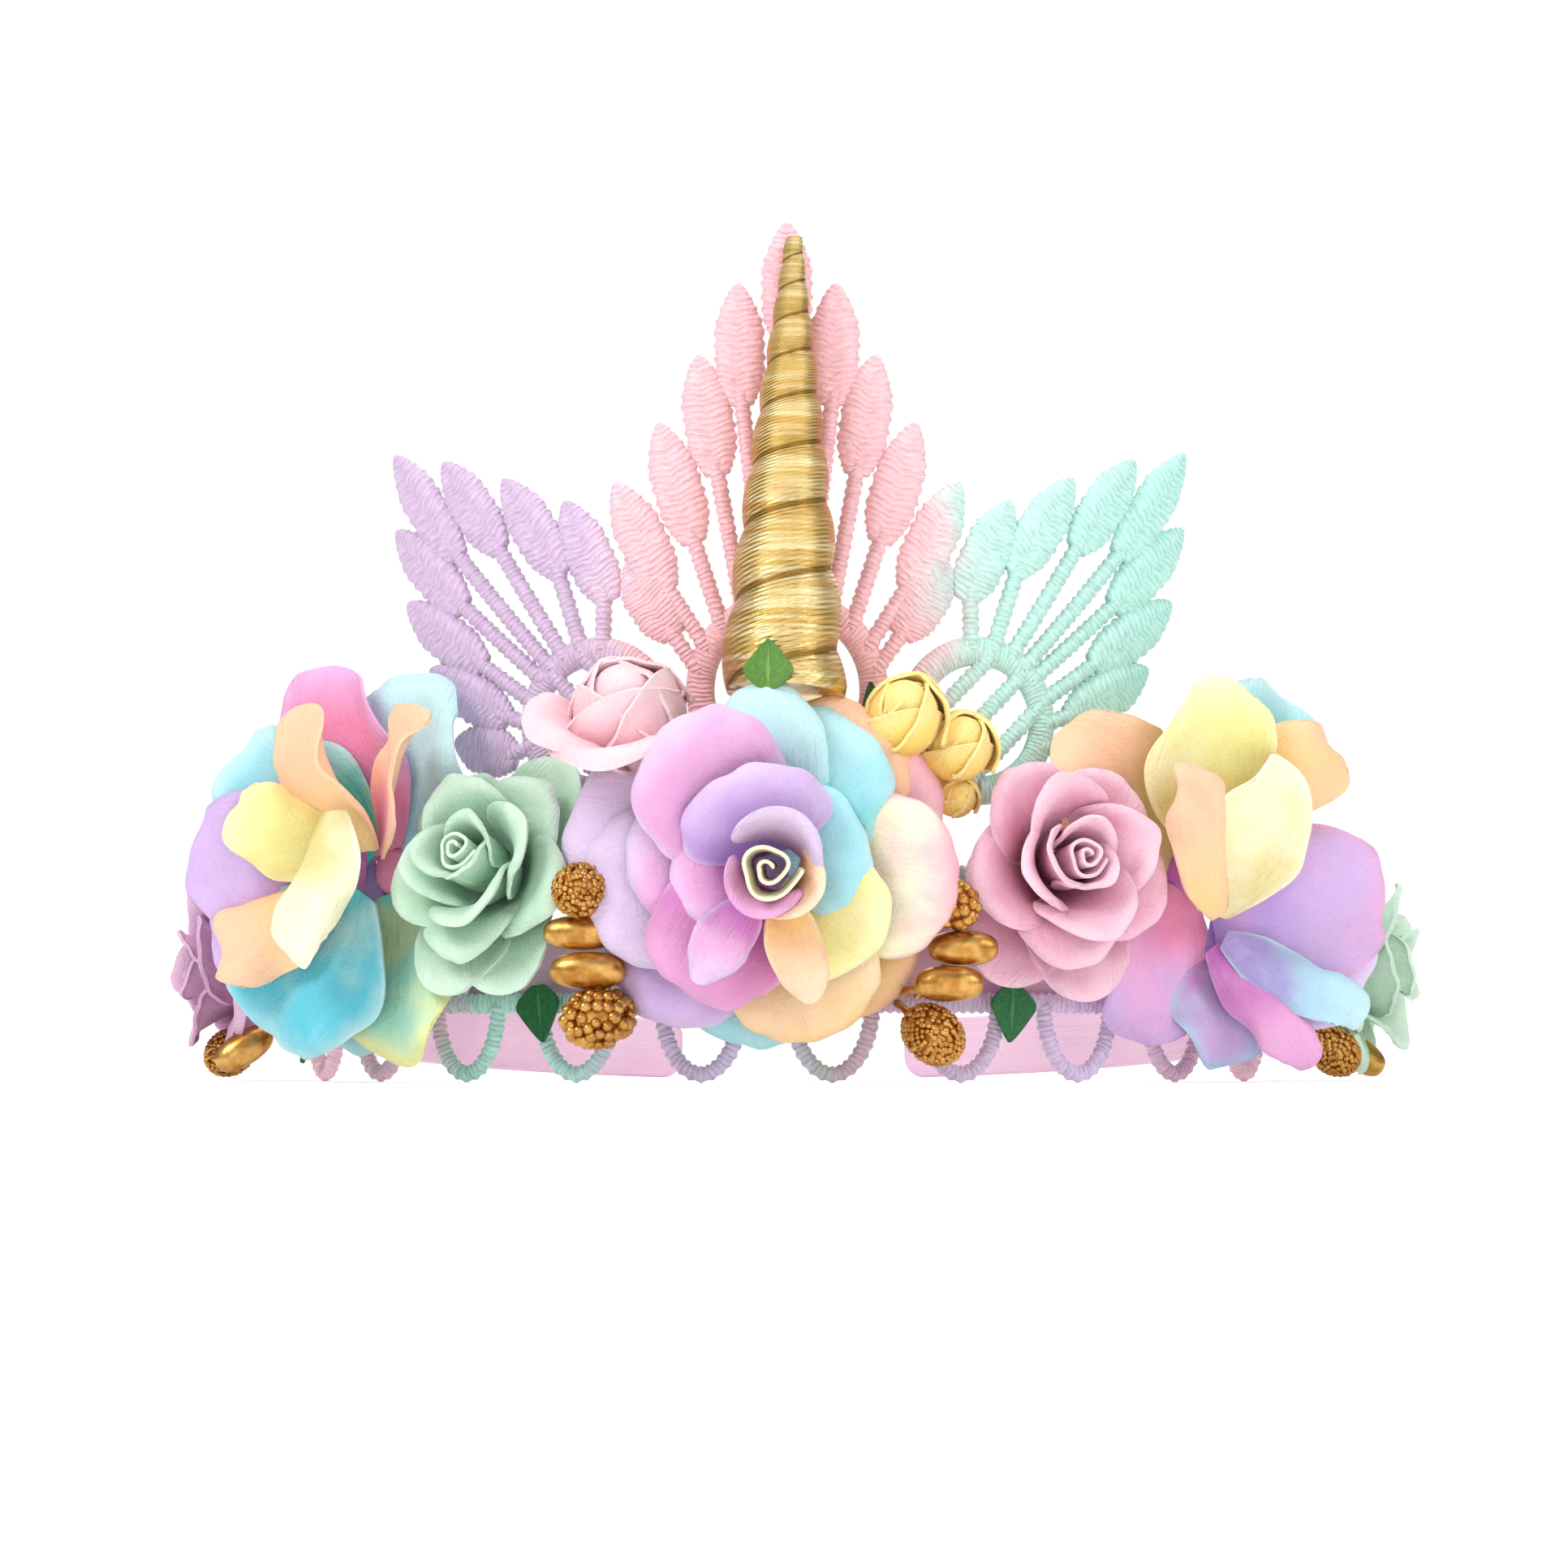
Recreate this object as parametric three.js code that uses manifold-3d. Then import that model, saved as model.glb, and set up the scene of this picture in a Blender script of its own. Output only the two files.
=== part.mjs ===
// A unicorn flower crown: a satin-covered headband bent to an open C, a stiffened lace strip
// standing round its front, a gold horn, and paper flowers, leaves and gold pips glued on the lace.
// Millimetres, +Z up, front of the crown towards -Y, foot of the lace loops on z = 0.
import * as THREE from 'three';
import { mergeVertices } from 'three/addons/utils/BufferGeometryUtils.js';
import Module from 'manifold-3d';

const wasm = await Module();
wasm.setup();

// Driving dimensions.
const GLUE_GAP = 0.35;
const LACE_GAP = 0.6;
const BAND = {
  halfWidth: 72, frontReach: 65, backReach: 71, centreY: 14, tipX: 19,
  height: 10, thickness: 2.6, edge: 0.8, frontZ: 17, tipZ: 4.95, tipRound: 3.2, tipStep: 0.3,
  segments: 21,
};
const LACE = {
  strip: 1.6, bar: 1.0, lobe: 2.0, stem: 1.6, sunk: 1, arcHalf: 104,
  cordFoot: 9.5, cordHead: 30, cordWidth: 3, cordSegments: 14, barWidth: 2.4,
  halfLength: 102, barCount: 9, fallFrom: 62, endFall: 10,
};
const LOOPS = {
  first: -85, pitch: 18, count: 10, halfWidth: 6.6, height: 10.8, cord: 2.3, thickness: 2.2,
  curveSegments: 3,
};
const HORN = {
  length: 63.5, footRadius: 8.8, tipRadius: 1.25, belly: 0.06, ridge: 0.07, turns: 9, growth: 1.16,
  sides: 10, rowsPerTurn: 4, ridgeRound: 0.7, footU: -1.6, footZ: 53, leanRight: 1.4,
};
const PAPER = 1.0;
const LEAF = { wall: 0.9, fold: 0.14, rootAt: 0.12, tipAt: 0.98, edge: 0.2, rows: 3, columns: 2 };
const PIP = { wireRadius: 0.6, wireSides: 4, headSides: 6, headRows: 4 };
const HEART_SIDES = 7;

const degrees = THREE.MathUtils.degToRad;

// Solids: joining and cutting closed meshes.
function toSolid(geometry) {
  const bare = geometry.clone();
  bare.deleteAttribute('normal');
  bare.deleteAttribute('uv');
  const merged = mergeVertices(bare, 1e-4);
  return new wasm.Manifold(new wasm.Mesh({
    numProp: 3,
    vertProperties: new Float32Array(merged.attributes.position.array),
    triVerts: new Uint32Array(merged.index.array),
  }));
}

function toGeometry(solid) {
  const mesh = solid.getMesh();
  const geometry = new THREE.BufferGeometry();
  geometry.setAttribute('position', new THREE.BufferAttribute(mesh.vertProperties, 3));
  geometry.setIndex(new THREE.BufferAttribute(mesh.triVerts, 1));
  geometry.computeVertexNormals();
  return geometry;
}

// The largest body of a solid, without the sealed pockets that crossing petals can leave in it.
function mainBody(solid) {
  const bodies = solid.decompose();
  bodies.sort((first, second) => second.volume() - first.volume());
  return bodies[0];
}

function joined(geometries) {
  const solids = geometries.map(toSolid);
  return mainBody(solids.reduce((whole, solid) => whole.add(solid)));
}

function indexedGeometry(points, triangles) {
  const geometry = new THREE.BufferGeometry().setFromPoints(points);
  geometry.setIndex(triangles);
  return geometry;
}

// A closed solid through a row of closed rings with equally many points, flat at both ends.
function loftGeometry(rings) {
  const around = rings[0].length;
  const triangles = [];
  for (let row = 0; row + 1 < rings.length; row += 1) {
    for (let side = 0; side < around; side += 1) {
      const next = (side + 1) % around;
      const low = row * around;
      const high = low + around;
      triangles.push(low + side, low + next, high + next, low + side, high + next, high + side);
    }
  }
  const last = (rings.length - 1) * around;
  for (let side = 1; side + 1 < around; side += 1) {
    triangles.push(0, side + 1, side);
    triangles.push(last, last + side, last + side + 1);
  }
  return indexedGeometry(rings.flat(), triangles);
}

// A thin curved wall: surface(s, t) runs s from root to tip and t from one side to the other.
function wallGeometry(surface, rows, columns, thickness) {
  const probe = 1e-3;
  const front = [];
  const back = [];
  for (let row = 0; row <= rows; row += 1) {
    for (let column = 0; column <= columns; column += 1) {
      const s = row / rows;
      const t = 2 * column / columns - 1;
      const alongS = surface(s + probe, t).sub(surface(s - probe, t));
      const alongT = surface(s, t + probe).sub(surface(s, t - probe));
      const normal = alongS.cross(alongT).normalize().multiplyScalar(thickness / 2);
      const middle = surface(s, t);
      front.push(middle.clone().add(normal));
      back.push(middle.clone().sub(normal));
    }
  }
  const stride = columns + 1;
  const offset = front.length;
  const triangles = [];
  const quad = (a, b, c, d) => triangles.push(a, b, c, a, c, d);
  for (let row = 0; row < rows; row += 1) {
    for (let column = 0; column < columns; column += 1) {
      const a = row * stride + column;
      quad(a, a + stride, a + stride + 1, a + 1);
      quad(offset + a, offset + a + 1, offset + a + stride + 1, offset + a + stride);
    }
  }
  for (let row = 0; row < rows; row += 1) {
    const left = row * stride;
    const right = left + columns;
    quad(left, offset + left, offset + left + stride, left + stride);
    quad(right, right + stride, offset + right + stride, offset + right);
  }
  for (let column = 0; column < columns; column += 1) {
    const root = column;
    const tip = rows * stride + column;
    quad(root, root + 1, offset + root + 1, offset + root);
    quad(tip, offset + tip, offset + tip + 1, tip + 1);
  }
  return indexedGeometry([...front, ...back], triangles);
}

function finish(colour, roughness, metalness = 0) {
  return new THREE.MeshStandardMaterial({ color: colour, roughness, metalness });
}

const crown = new THREE.Group();

function addPiece(name, geometry, material) {
  const mesh = new THREE.Mesh(geometry, material);
  mesh.name = name;
  crown.add(mesh);
  return mesh;
}

// Headband: a flat satin-covered strip on edge, bent to a C that slopes down to two rounded tips.
function bandPoint(angle) {
  const reach = Math.cos(angle) > 0 ? BAND.frontReach : BAND.backReach;
  const x = BAND.halfWidth * Math.sin(angle);
  const y = BAND.centreY - reach * Math.cos(angle);
  const outward = new THREE.Vector2(Math.sin(angle) / BAND.halfWidth, -Math.cos(angle) / reach);
  return { x, y, outward: outward.normalize() };
}

function headbandGeometry() {
  const endAngle = Math.PI - Math.asin(BAND.tipX / BAND.halfWidth);
  const frontY = BAND.centreY - BAND.frontReach;
  const fall = (BAND.frontZ - BAND.tipZ) / (bandPoint(endAngle).y - frontY);
  const roundAngle = BAND.tipRound / BAND.halfWidth;
  const angles = [-endAngle, -endAngle + roundAngle * BAND.tipStep];
  for (let step = 0; step <= BAND.segments; step += 1) {
    angles.push((endAngle - roundAngle) * (2 * step / BAND.segments - 1));
  }
  angles.push(endAngle - roundAngle * BAND.tipStep, endAngle);
  const rings = angles.map((angle) => {
    const { x, y, outward } = bandPoint(angle);
    const middleZ = BAND.frontZ - fall * (y - frontY);
    const fromTip = Math.min(1, (endAngle - Math.abs(angle)) / roundAngle);
    const halfHeight = BAND.height / 2 - BAND.tipRound * (1 - Math.sqrt(1 - (1 - fromTip) ** 2));
    const half = BAND.thickness / 2;
    const inset = BAND.edge;
    const section = [
      [half - inset, -halfHeight], [inset - half, -halfHeight], [-half, inset - halfHeight],
      [-half, halfHeight - inset], [inset - half, halfHeight], [half - inset, halfHeight],
      [half, halfHeight - inset], [half, inset - halfHeight],
    ];
    return section.map(([out, up]) => new THREE.Vector3(
      x + outward.x * out, y + outward.y * out, middleZ + up));
  });
  return loftGeometry(rings);
}

addPiece('headband', headbandGeometry(), finish('#e3b9d2', 0.45));

// Lace: drawn flat, u along the strip from its middle and v up from the foot, then bent round.
const laceOffset = BAND.thickness / 2 + LACE_GAP + LACE.strip / 2;
const laceLine = new THREE.EllipseCurve(
  0, BAND.centreY, BAND.halfWidth + laceOffset, BAND.frontReach + laceOffset,
  degrees(-90 - LACE.arcHalf), degrees(-90 + LACE.arcHalf));
laceLine.arcLengthDivisions = 400;
const laceLength = laceLine.getLength();

function onLace(u, v, out) {
  const place = THREE.MathUtils.clamp(0.5 + u / laceLength, 0, 1);
  const point = laceLine.getPointAt(place);
  const along = laceLine.getTangentAt(place);
  return new THREE.Vector3(point.x + along.y * out, point.y - along.x * out, v);
}

function laceYaw(u) {
  const along = laceLine.getTangentAt(0.5 + u / laceLength);
  return Math.atan2(along.y, along.x);
}

function bentOnLace(flat) {
  const place = flat.attributes.position;
  for (let corner = 0; corner < place.count; corner += 1) {
    const point = onLace(place.getX(corner), place.getY(corner), place.getZ(corner));
    place.setXYZ(corner, point.x, point.y, point.z);
  }
  return flat;
}

function plate(shape, thickness, curveSegments = 4) {
  const geometry = new THREE.ExtrudeGeometry(
    shape, { depth: thickness, bevelEnabled: false, curveSegments, steps: 1 });
  return geometry.translate(0, 0, -thickness / 2);
}

function uprightBar(u, foot, head, width, thickness) {
  const bar = new THREE.BoxGeometry(width, head - foot, thickness);
  return bar.translate(u, (head + foot) / 2, 0);
}

// Palmettes: a stitched ring with a fan of fingers, each a pointed satin lobe on a thin stem that
// starts from the ring at an angle from its top. Tips are taken from the ring's centre, and side
// turns a fan over.
const CENTRE_FAN = [
  { tip: [0, 65], lean: 0, long: 15, ringAt: 0 },
  { tip: [6.8, 56.5], lean: 1.5, long: 15, ringAt: 14 },
  { tip: [12.4, 46.6], lean: 9.5, long: 15, ringAt: 30 },
  { tip: [18, 37.3], lean: 17, long: 15.5, ringAt: 47 },
  { tip: [24.3, 29.2], lean: 26.5, long: 15, ringAt: 64 },
];
const SIDE_FAN = [
  { tip: [5, 31], lean: 26, long: 14, ringAt: -6 },
  { tip: [15, 34.7], lean: 35, long: 15, ringAt: 12 },
  { tip: [26, 38], lean: 39, long: 15, ringAt: 28 },
  { tip: [36.5, 40], lean: 41, long: 18.5, ringAt: 42 },
  { tip: [36, 29], lean: 50, long: 16.5, ringAt: 54 },
  { tip: [33.3, 18.3], lean: 57, long: 16, ringAt: 74 },
  { tip: [28.4, 8.5], lean: 62, long: 14.5, ringAt: 92 },
];
const PALMETTES = [
  { u: -1.2, v: 54, ring: 14, ringWidth: 4, lobeWidth: 6.8, sides: [-1, 1], fan: CENTRE_FAN },
  { u: -28.2, v: 50, ring: 11.7, ringWidth: 4, lobeWidth: 6.6, sides: [-1], fan: SIDE_FAN },
  { u: 25.7, v: 50, ring: 11.7, ringWidth: 4, lobeWidth: 6.6, sides: [1], fan: SIDE_FAN },
];
const PALMETTE = { stemSunk: 0.8, stemInLobe: 0.15, legOut: 0.6, legRise: 0.65, ringCurve: 5 };
const LOBE_OUTLINE = [
  { out: 0, along: 0 },
  { out: 0.5, along: 0.27 },
  { out: 0.5, along: 0.62 },
  { out: 0, along: 1 },
];

function lobe(finger, width, side) {
  const half = LOBE_OUTLINE.map(({ out, along }) => [out * width, (along - 1) * finger.long]);
  const mirrored = half.slice(1, -1).reverse().map(([out, up]) => [-out, up]);
  const shape = new THREE.Shape([...half, ...mirrored].map(([out, up]) => new THREE.Vector2(out, up)));
  return plate(shape, LACE.lobe).rotateZ(degrees(-side * finger.lean))
    .translate(side * finger.tip[0], finger.tip[1], 0);
}

function stem(finger, motif, side) {
  const start = new THREE.Vector2(0, motif.ring - PALMETTE.stemSunk)
    .rotateAround(new THREE.Vector2(), degrees(-side * finger.ringAt));
  const end = new THREE.Vector2(0, -finger.long * (1 - PALMETTE.stemInLobe))
    .rotateAround(new THREE.Vector2(), degrees(-side * finger.lean))
    .add(new THREE.Vector2(side * finger.tip[0], finger.tip[1]));
  const along = end.clone().sub(start);
  const bar = uprightBar(0, 0, along.length(), LACE.stem, LACE.lobe);
  return bar.rotateZ(along.angle() - Math.PI / 2).translate(start.x, start.y, 0);
}

function palmette(motif) {
  const ring = new THREE.Shape();
  ring.absarc(0, 0, motif.ring, 0, 2 * Math.PI, false);
  const eye = new THREE.Path();
  eye.absarc(0, 0, motif.ring - motif.ringWidth, 0, 2 * Math.PI, true);
  ring.holes.push(eye);
  const pieces = [plate(ring, LACE.lobe, PALMETTE.ringCurve)];
  for (const side of motif.sides) {
    for (const finger of motif.fan) {
      pieces.push(lobe(finger, motif.lobeWidth, side), stem(finger, motif, side));
    }
  }
  const fan = toGeometry(joined(pieces)).translate(motif.u, motif.v, 0);
  const legs = [-1, 1].map((side) => uprightBar(
    motif.u + side * motif.ring * PALMETTE.legOut, LACE.cordHead - LACE.sunk,
    motif.v - motif.ring * PALMETTE.legRise, LACE.barWidth, LACE.bar));
  return [fan, ...legs];
}

function hemLoop(u) {
  const loop = new THREE.Shape();
  const top = LOOPS.height;
  loop.absellipse(0, top, LOOPS.halfWidth, LOOPS.height, Math.PI, 2 * Math.PI, false);
  loop.lineTo(LOOPS.halfWidth - LOOPS.cord, top);
  loop.absellipse(
    0, top, LOOPS.halfWidth - LOOPS.cord, LOOPS.height - LOOPS.cord, 2 * Math.PI, Math.PI, true);
  loop.closePath();
  return plate(loop, LOOPS.thickness, LOOPS.curveSegments).translate(u, 0, 0);
}

// The head cord runs level behind the flowers and falls towards the ends of the strip.
function headCordTop(u) {
  const past = Math.max(0, Math.abs(u) - LACE.fallFrom) / (LACE.halfLength - LACE.fallFrom);
  return LACE.cordHead - LACE.endFall * THREE.MathUtils.smoothstep(past, 0, 1);
}

function headCord() {
  const cord = new THREE.BoxGeometry(
    2 * LACE.halfLength, LACE.cordWidth, LACE.strip, LACE.cordSegments, 1, 1);
  const place = cord.attributes.position;
  for (let corner = 0; corner < place.count; corner += 1) {
    const middle = headCordTop(place.getX(corner)) - LACE.cordWidth / 2;
    place.setY(corner, place.getY(corner) + middle);
  }
  return cord;
}

function footCord() {
  const cord = new THREE.BoxGeometry(
    2 * LACE.halfLength, LACE.cordWidth, LACE.strip, LACE.cordSegments, 1, 1);
  return cord.translate(0, LACE.cordFoot + LACE.cordWidth / 2, 0);
}

function laceSolid() {
  const flat = [...PALMETTES.flatMap(palmette), headCord(), footCord()];
  for (let loop = 0; loop < LOOPS.count; loop += 1) {
    flat.push(hemLoop(LOOPS.first + loop * LOOPS.pitch));
  }
  for (let bar = 0; bar < LACE.barCount; bar += 1) {
    const u = (LACE.halfLength - LACE.barWidth) * (2 * bar / (LACE.barCount - 1) - 1);
    flat.push(uprightBar(
      u, LACE.cordFoot + LACE.sunk, headCordTop(u) - LACE.sunk, LACE.barWidth, LACE.bar));
  }
  return joined(flat.map(bentOnLace));
}

addPiece('lace_crown', toGeometry(laceSolid()), finish('#efc4d6', 0.85));

// Horn: a gold cone wound with a spiral groove, standing against the middle of the lace.
function hornGeometry() {
  const rows = HORN.turns * HORN.rowsPerTurn;
  const rings = [];
  const fullRise = HORN.growth ** HORN.turns - 1;
  for (let row = 0; row <= rows; row += 1) {
    const turn = HORN.turns * row / rows;
    const rise = 1 - (HORN.growth ** (HORN.turns - turn) - 1) / fullRise;
    const taper = HORN.footRadius + (HORN.tipRadius - HORN.footRadius) * rise;
    const radius = taper * (1 + HORN.belly * Math.sin(Math.PI * rise));
    const ring = [];
    for (let side = 0; side < HORN.sides; side += 1) {
      const around = side / HORN.sides;
      const swell = Math.abs(Math.sin(Math.PI * (turn - around))) ** HORN.ridgeRound;
      const grooved = radius * (1 - HORN.ridge + HORN.ridge * swell);
      const angle = 2 * Math.PI * around;
      ring.push(new THREE.Vector3(
        grooved * Math.cos(angle), grooved * Math.sin(angle), HORN.length * rise));
    }
    rings.push(ring);
  }
  return loftGeometry(rings);
}

const horn = addPiece('unicorn_horn', hornGeometry(), finish('#b8923c', 0.35, 0.9));
const hornOut = LACE.lobe / 2 + 2 * GLUE_GAP + HORN.footRadius;
horn.position.copy(onLace(HORN.footU, HORN.footZ, hornOut));
horn.rotation.set(
  -Math.atan((HORN.footRadius - HORN.tipRadius) / HORN.length), degrees(HORN.leanRight), 0);

// Paper petals. A flower faces its own +Z; a petal leaves the axis at its tilt, cupped across its
// width, twisted so that one side lies over the next petal, and curls back near its tip.
const PETAL = {
  neck: 0.18, widest: 0.62, fullness: 0.3, shoulder: 0.2, cornerDrop: 0.3, curlFrom: 0.55, steps: 12,
};

function petalSurface(petal) {
  const halfWidth = (s) => {
    const rise = Math.min(1, s / PETAL.widest);
    const over = Math.max(0, s - PETAL.widest) / (1 - PETAL.widest);
    const opening = PETAL.neck + (1 - PETAL.neck) * rise * (1 + PETAL.fullness - PETAL.fullness * rise);
    return petal.width / 2 * (opening - PETAL.shoulder * over * over);
  };
  const lean = (s) => {
    const rootBend = petal.belly * Math.max(0, 1 - s / PETAL.curlFrom);
    const tipBend = petal.curl * Math.max(0, s - PETAL.curlFrom) / (1 - PETAL.curlFrom);
    return degrees(petal.tilt + rootBend + tipBend);
  };
  const bendRadius = petal.width / degrees(petal.cup);
  const turn = degrees(petal.azimuth);
  return (s, t) => {
    const reach = s * (1 - PETAL.cornerDrop * t * t * s);
    let radial = petal.root;
    let axial = petal.lift;
    for (let step = 0; step < PETAL.steps; step += 1) {
      const here = lean((step + 0.5) / PETAL.steps * reach);
      radial += Math.sin(here) * reach * petal.length / PETAL.steps;
      axial += Math.cos(here) * reach * petal.length / PETAL.steps;
    }
    const across = t * halfWidth(s) / bendRadius;
    const inward = bendRadius * (1 - Math.cos(across)) - petal.twist * t * Math.sqrt(Math.max(0, s));
    const sideways = bendRadius * Math.sin(across);
    radial -= inward * Math.cos(lean(reach));
    axial += inward * Math.sin(lean(reach));
    return new THREE.Vector3(
      radial * Math.cos(turn) - sideways * Math.sin(turn),
      radial * Math.sin(turn) + sideways * Math.cos(turn),
      axial);
  };
}

// The glued foot of a flower, drawn out to the rolled heart that its petals stand round.
function flowerHeart(heart) {
  const profile = heart.map(([out, up]) => new THREE.Vector2(out, up));
  return new THREE.LatheGeometry(profile, HEART_SIDES).rotateX(Math.PI / 2);
}

function flowerSolid(flower) {
  const pieces = [flowerHeart(flower.heart)];
  for (const ring of flower.rings) {
    for (const azimuth of ring.azimuths) {
      const surface = petalSurface({ ...ring, azimuth });
      pieces.push(wallGeometry(surface, ring.rows, ring.columns, PAPER));
    }
  }
  return joined(pieces);
}

const LARGE_ROSE = {
  heart: [[0, 0], [6, 0], [6, 7], [3.4, 20], [3.2, 27], [0, 28.5]],
  rings: [
    { azimuths: [92, 142, 192, 244, 296, 348, 40], root: 3, lift: 6, length: 29, width: 23, tilt: 44,
      belly: 14, curl: 42, cup: 40, twist: 2, rows: 2, columns: 3 },
    { azimuths: [62, 134, 202, 268, 336], root: 2, lift: 12, length: 20, width: 17, tilt: 26,
      belly: 14, curl: 55, cup: 65, twist: 1.8, rows: 2, columns: 3 },
    { azimuths: [95, 215, 335], root: 2, lift: 17, length: 13, width: 11, tilt: 16,
      belly: 6, curl: 30, cup: 80, twist: 1, rows: 2, columns: 2 },
  ],
};

// The two side blooms are open and loosely folded; one is the other turned over.
function openBloom(side) {
  const mirrored = (azimuths) => azimuths.map((azimuth) => (side < 0 ? azimuth : 180 - azimuth));
  return {
    heart: [[0, 0], [5.5, 0], [5.5, 6], [2.5, 14], [0, 15]],
    rings: [
      { azimuths: mirrored([92, 150, 205, 262]), root: 3, lift: 6, length: 31, width: 24,
        tilt: 48, belly: 8, curl: 34, cup: 45, twist: 2, rows: 3, columns: 3 },
      { azimuths: mirrored([316, 32]), root: 3, lift: 6, length: 28, width: 16,
        tilt: 38, belly: 8, curl: 34, cup: 60, twist: 1, rows: 3, columns: 2 },
      { azimuths: mirrored([125, 210, 318]), root: 2, lift: 9, length: 24, width: 17, tilt: 22,
        belly: 10, curl: 42, cup: 80, twist: 1.2, rows: 2, columns: 3 },
    ],
  };
}

function smallRose(scale, hanging) {
  const rings = [
    { azimuths: [60, 150, 240, 330], root: 2, lift: 4, length: 15, width: 15, tilt: 42,
      belly: 16, curl: 40, cup: 55, twist: 1.2, rows: 2, columns: 3 },
    { azimuths: [15, 105, 195, 285], root: 2, lift: 7, length: 12, width: 10, tilt: 24,
      belly: 14, curl: 42, cup: 60, twist: 1, rows: 2, columns: 2 },
  ];
  if (hanging.length > 0) {
    rings.push({ azimuths: hanging, root: 2, lift: 2.4, length: 19, width: 14, tilt: 74,
      belly: 0, curl: 10, cup: 40, twist: 0, rows: 2, columns: 3 });
  }
  const heart = [[0, 0], [4, 0], [4, 4], [2.6, 12], [2.9, 16], [0, 17]];
  return scaledFlower({ heart, rings }, scale);
}

function rosebud(scale, columns) {
  const rings = [
    { azimuths: [90, 210, 330], root: 2, lift: 3, length: 14, width: 15, tilt: 34,
      belly: 18, curl: 34, cup: 60, twist: 1.4, rows: 2, columns },
  ];
  const heart = [[0, 0], [4, 0], [4, 3], [4.6, 9], [3.4, 14], [0, 15]];
  return scaledFlower({ heart, rings }, scale);
}

function scaledFlower(flower, scale) {
  const sizes = ['root', 'lift', 'length', 'width', 'twist'];
  const rings = flower.rings.map((ring) => {
    const scaled = sizes.map((size) => [size, ring[size] * scale]);
    return { ...ring, ...Object.fromEntries(scaled) };
  });
  const heart = flower.heart.map(([out, up]) => [out * scale, up * scale]);
  return { heart, rings };
}

const FLOWERS = [
  { name: 'centre_rose', colour: '#c9a2d8', u: -2.7, v: 29.5, yaw: 0, pitch: -3, form: LARGE_ROSE },
  { name: 'mint_rose', colour: '#b9d8c4', u: -39, v: 28.5, yaw: 8, pitch: 3,
    form: smallRose(0.92, [262]) },
  { name: 'pink_rose', colour: '#d8a3c0', u: 34, v: 29, yaw: -4, pitch: 6,
    form: smallRose(0.96, [235, 285]) },
  { name: 'blush_rose', colour: '#e2bcc9', u: -24, v: 49, yaw: 0, pitch: 0, form: rosebud(0.94, 3) },
  { name: 'left_bloom', colour: '#f0c3a6', u: -57.5, v: 29.5, yaw: 8, pitch: 0, form: openBloom(-1) },
  { name: 'right_bloom', colour: '#bfa2dc', u: 56, v: 29.5, yaw: -10, pitch: 0, form: openBloom(1) },
  { name: 'left_end_rose', colour: '#d0a0be', u: -97, v: 17, yaw: 0, pitch: 0, form: rosebud(1.12, 3) },
  { name: 'right_end_rose', colour: '#bcdcc8', u: 96, v: 17, yaw: 0, pitch: 0, form: rosebud(1.14, 3) },
  { name: 'yellow_rosebud_1', colour: '#f3cf7c', u: 16.5, v: 50.5, yaw: 0, pitch: 10,
    form: rosebud(0.7, 2) },
  { name: 'yellow_rosebud_2', colour: '#f3cf7c', u: 26.5, v: 44.5, yaw: 0, pitch: 0,
    form: rosebud(0.48, 2) },
  { name: 'yellow_rosebud_3', colour: '#f1d28b', u: 21, v: 38, yaw: 0, pitch: 0,
    form: rosebud(0.36, 2) },
];

for (const flower of FLOWERS) {
  const mesh = addPiece(
    flower.name, toGeometry(flowerSolid(flower.form)), finish(flower.colour, 0.8));
  const tilted = degrees(Math.hypot(flower.yaw, flower.pitch));
  const footLift = flower.form.heart[1][0] * Math.sin(tilted);
  mesh.position.copy(onLace(flower.u, flower.v, LACE.strip / 2 + GLUE_GAP + footLift));
  mesh.rotation.set(
    Math.PI / 2 - degrees(flower.pitch), 0, laceYaw(flower.u) + degrees(flower.yaw), 'ZXY');
}

// Gold pips and beaded berries on wires that are glued by the foot at u and v on the lace; the
// middle of the head is at toU, toV and toOut.
const PIPS = [
  { name: 'gold_berry_1', u: -21, v: 28, toU: -25, toV: 26, toOut: 14.5, long: 7.5, wide: 6.6 },
  { name: 'gold_pip_1', u: -17, v: 28, toU: -25.5, toV: 20.3, toOut: 12.5, long: 9.4, wide: 3.8 },
  { name: 'gold_pip_2', u: -18, v: 11.5, toU: -24.5, toV: 15.2, toOut: 13, long: 9.4, wide: 4.4 },
  { name: 'gold_berry_2', u: -15, v: 11, toU: -23.5, toV: 8.8, toOut: 12, long: 10, wide: 8 },
  { name: 'gold_berry_3', u: 15, v: 28, toU: 18.8, toV: 24, toOut: 12, long: 7.4, wide: 6.2 },
  { name: 'gold_pip_3', u: 16.4, v: 11.8, toU: 20, toV: 18.2, toOut: 11.5, long: 8.8, wide: 4.2 },
  { name: 'gold_pip_4', u: 10.5, v: 11.8, toU: 18, toV: 13.4, toOut: 12.5, long: 8.8, wide: 4.2 },
  { name: 'gold_berry_4', u: 13.6, v: 11, toU: 16.5, toV: 6.6, toOut: 10.4, long: 9.6, wide: 6.4 },
  { name: 'gold_berry_5', u: -96, v: 11, toU: -97, toV: 4.3, toOut: 11.4, long: 7.4, wide: 6.4 },
  { name: 'gold_pip_5', u: -88.5, v: 11, toU: -89.5, toV: 4.8, toOut: 11, long: 8, wide: 4.4 },
  { name: 'gold_berry_6', u: 87, v: 11, toU: 87, toV: 4.4, toOut: 10, long: 7.4, wide: 6.4 },
  { name: 'gold_pip_6', u: 97, v: 11, toU: 98, toV: 4.2, toOut: 11, long: 8, wide: 4.4 },
];

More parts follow.
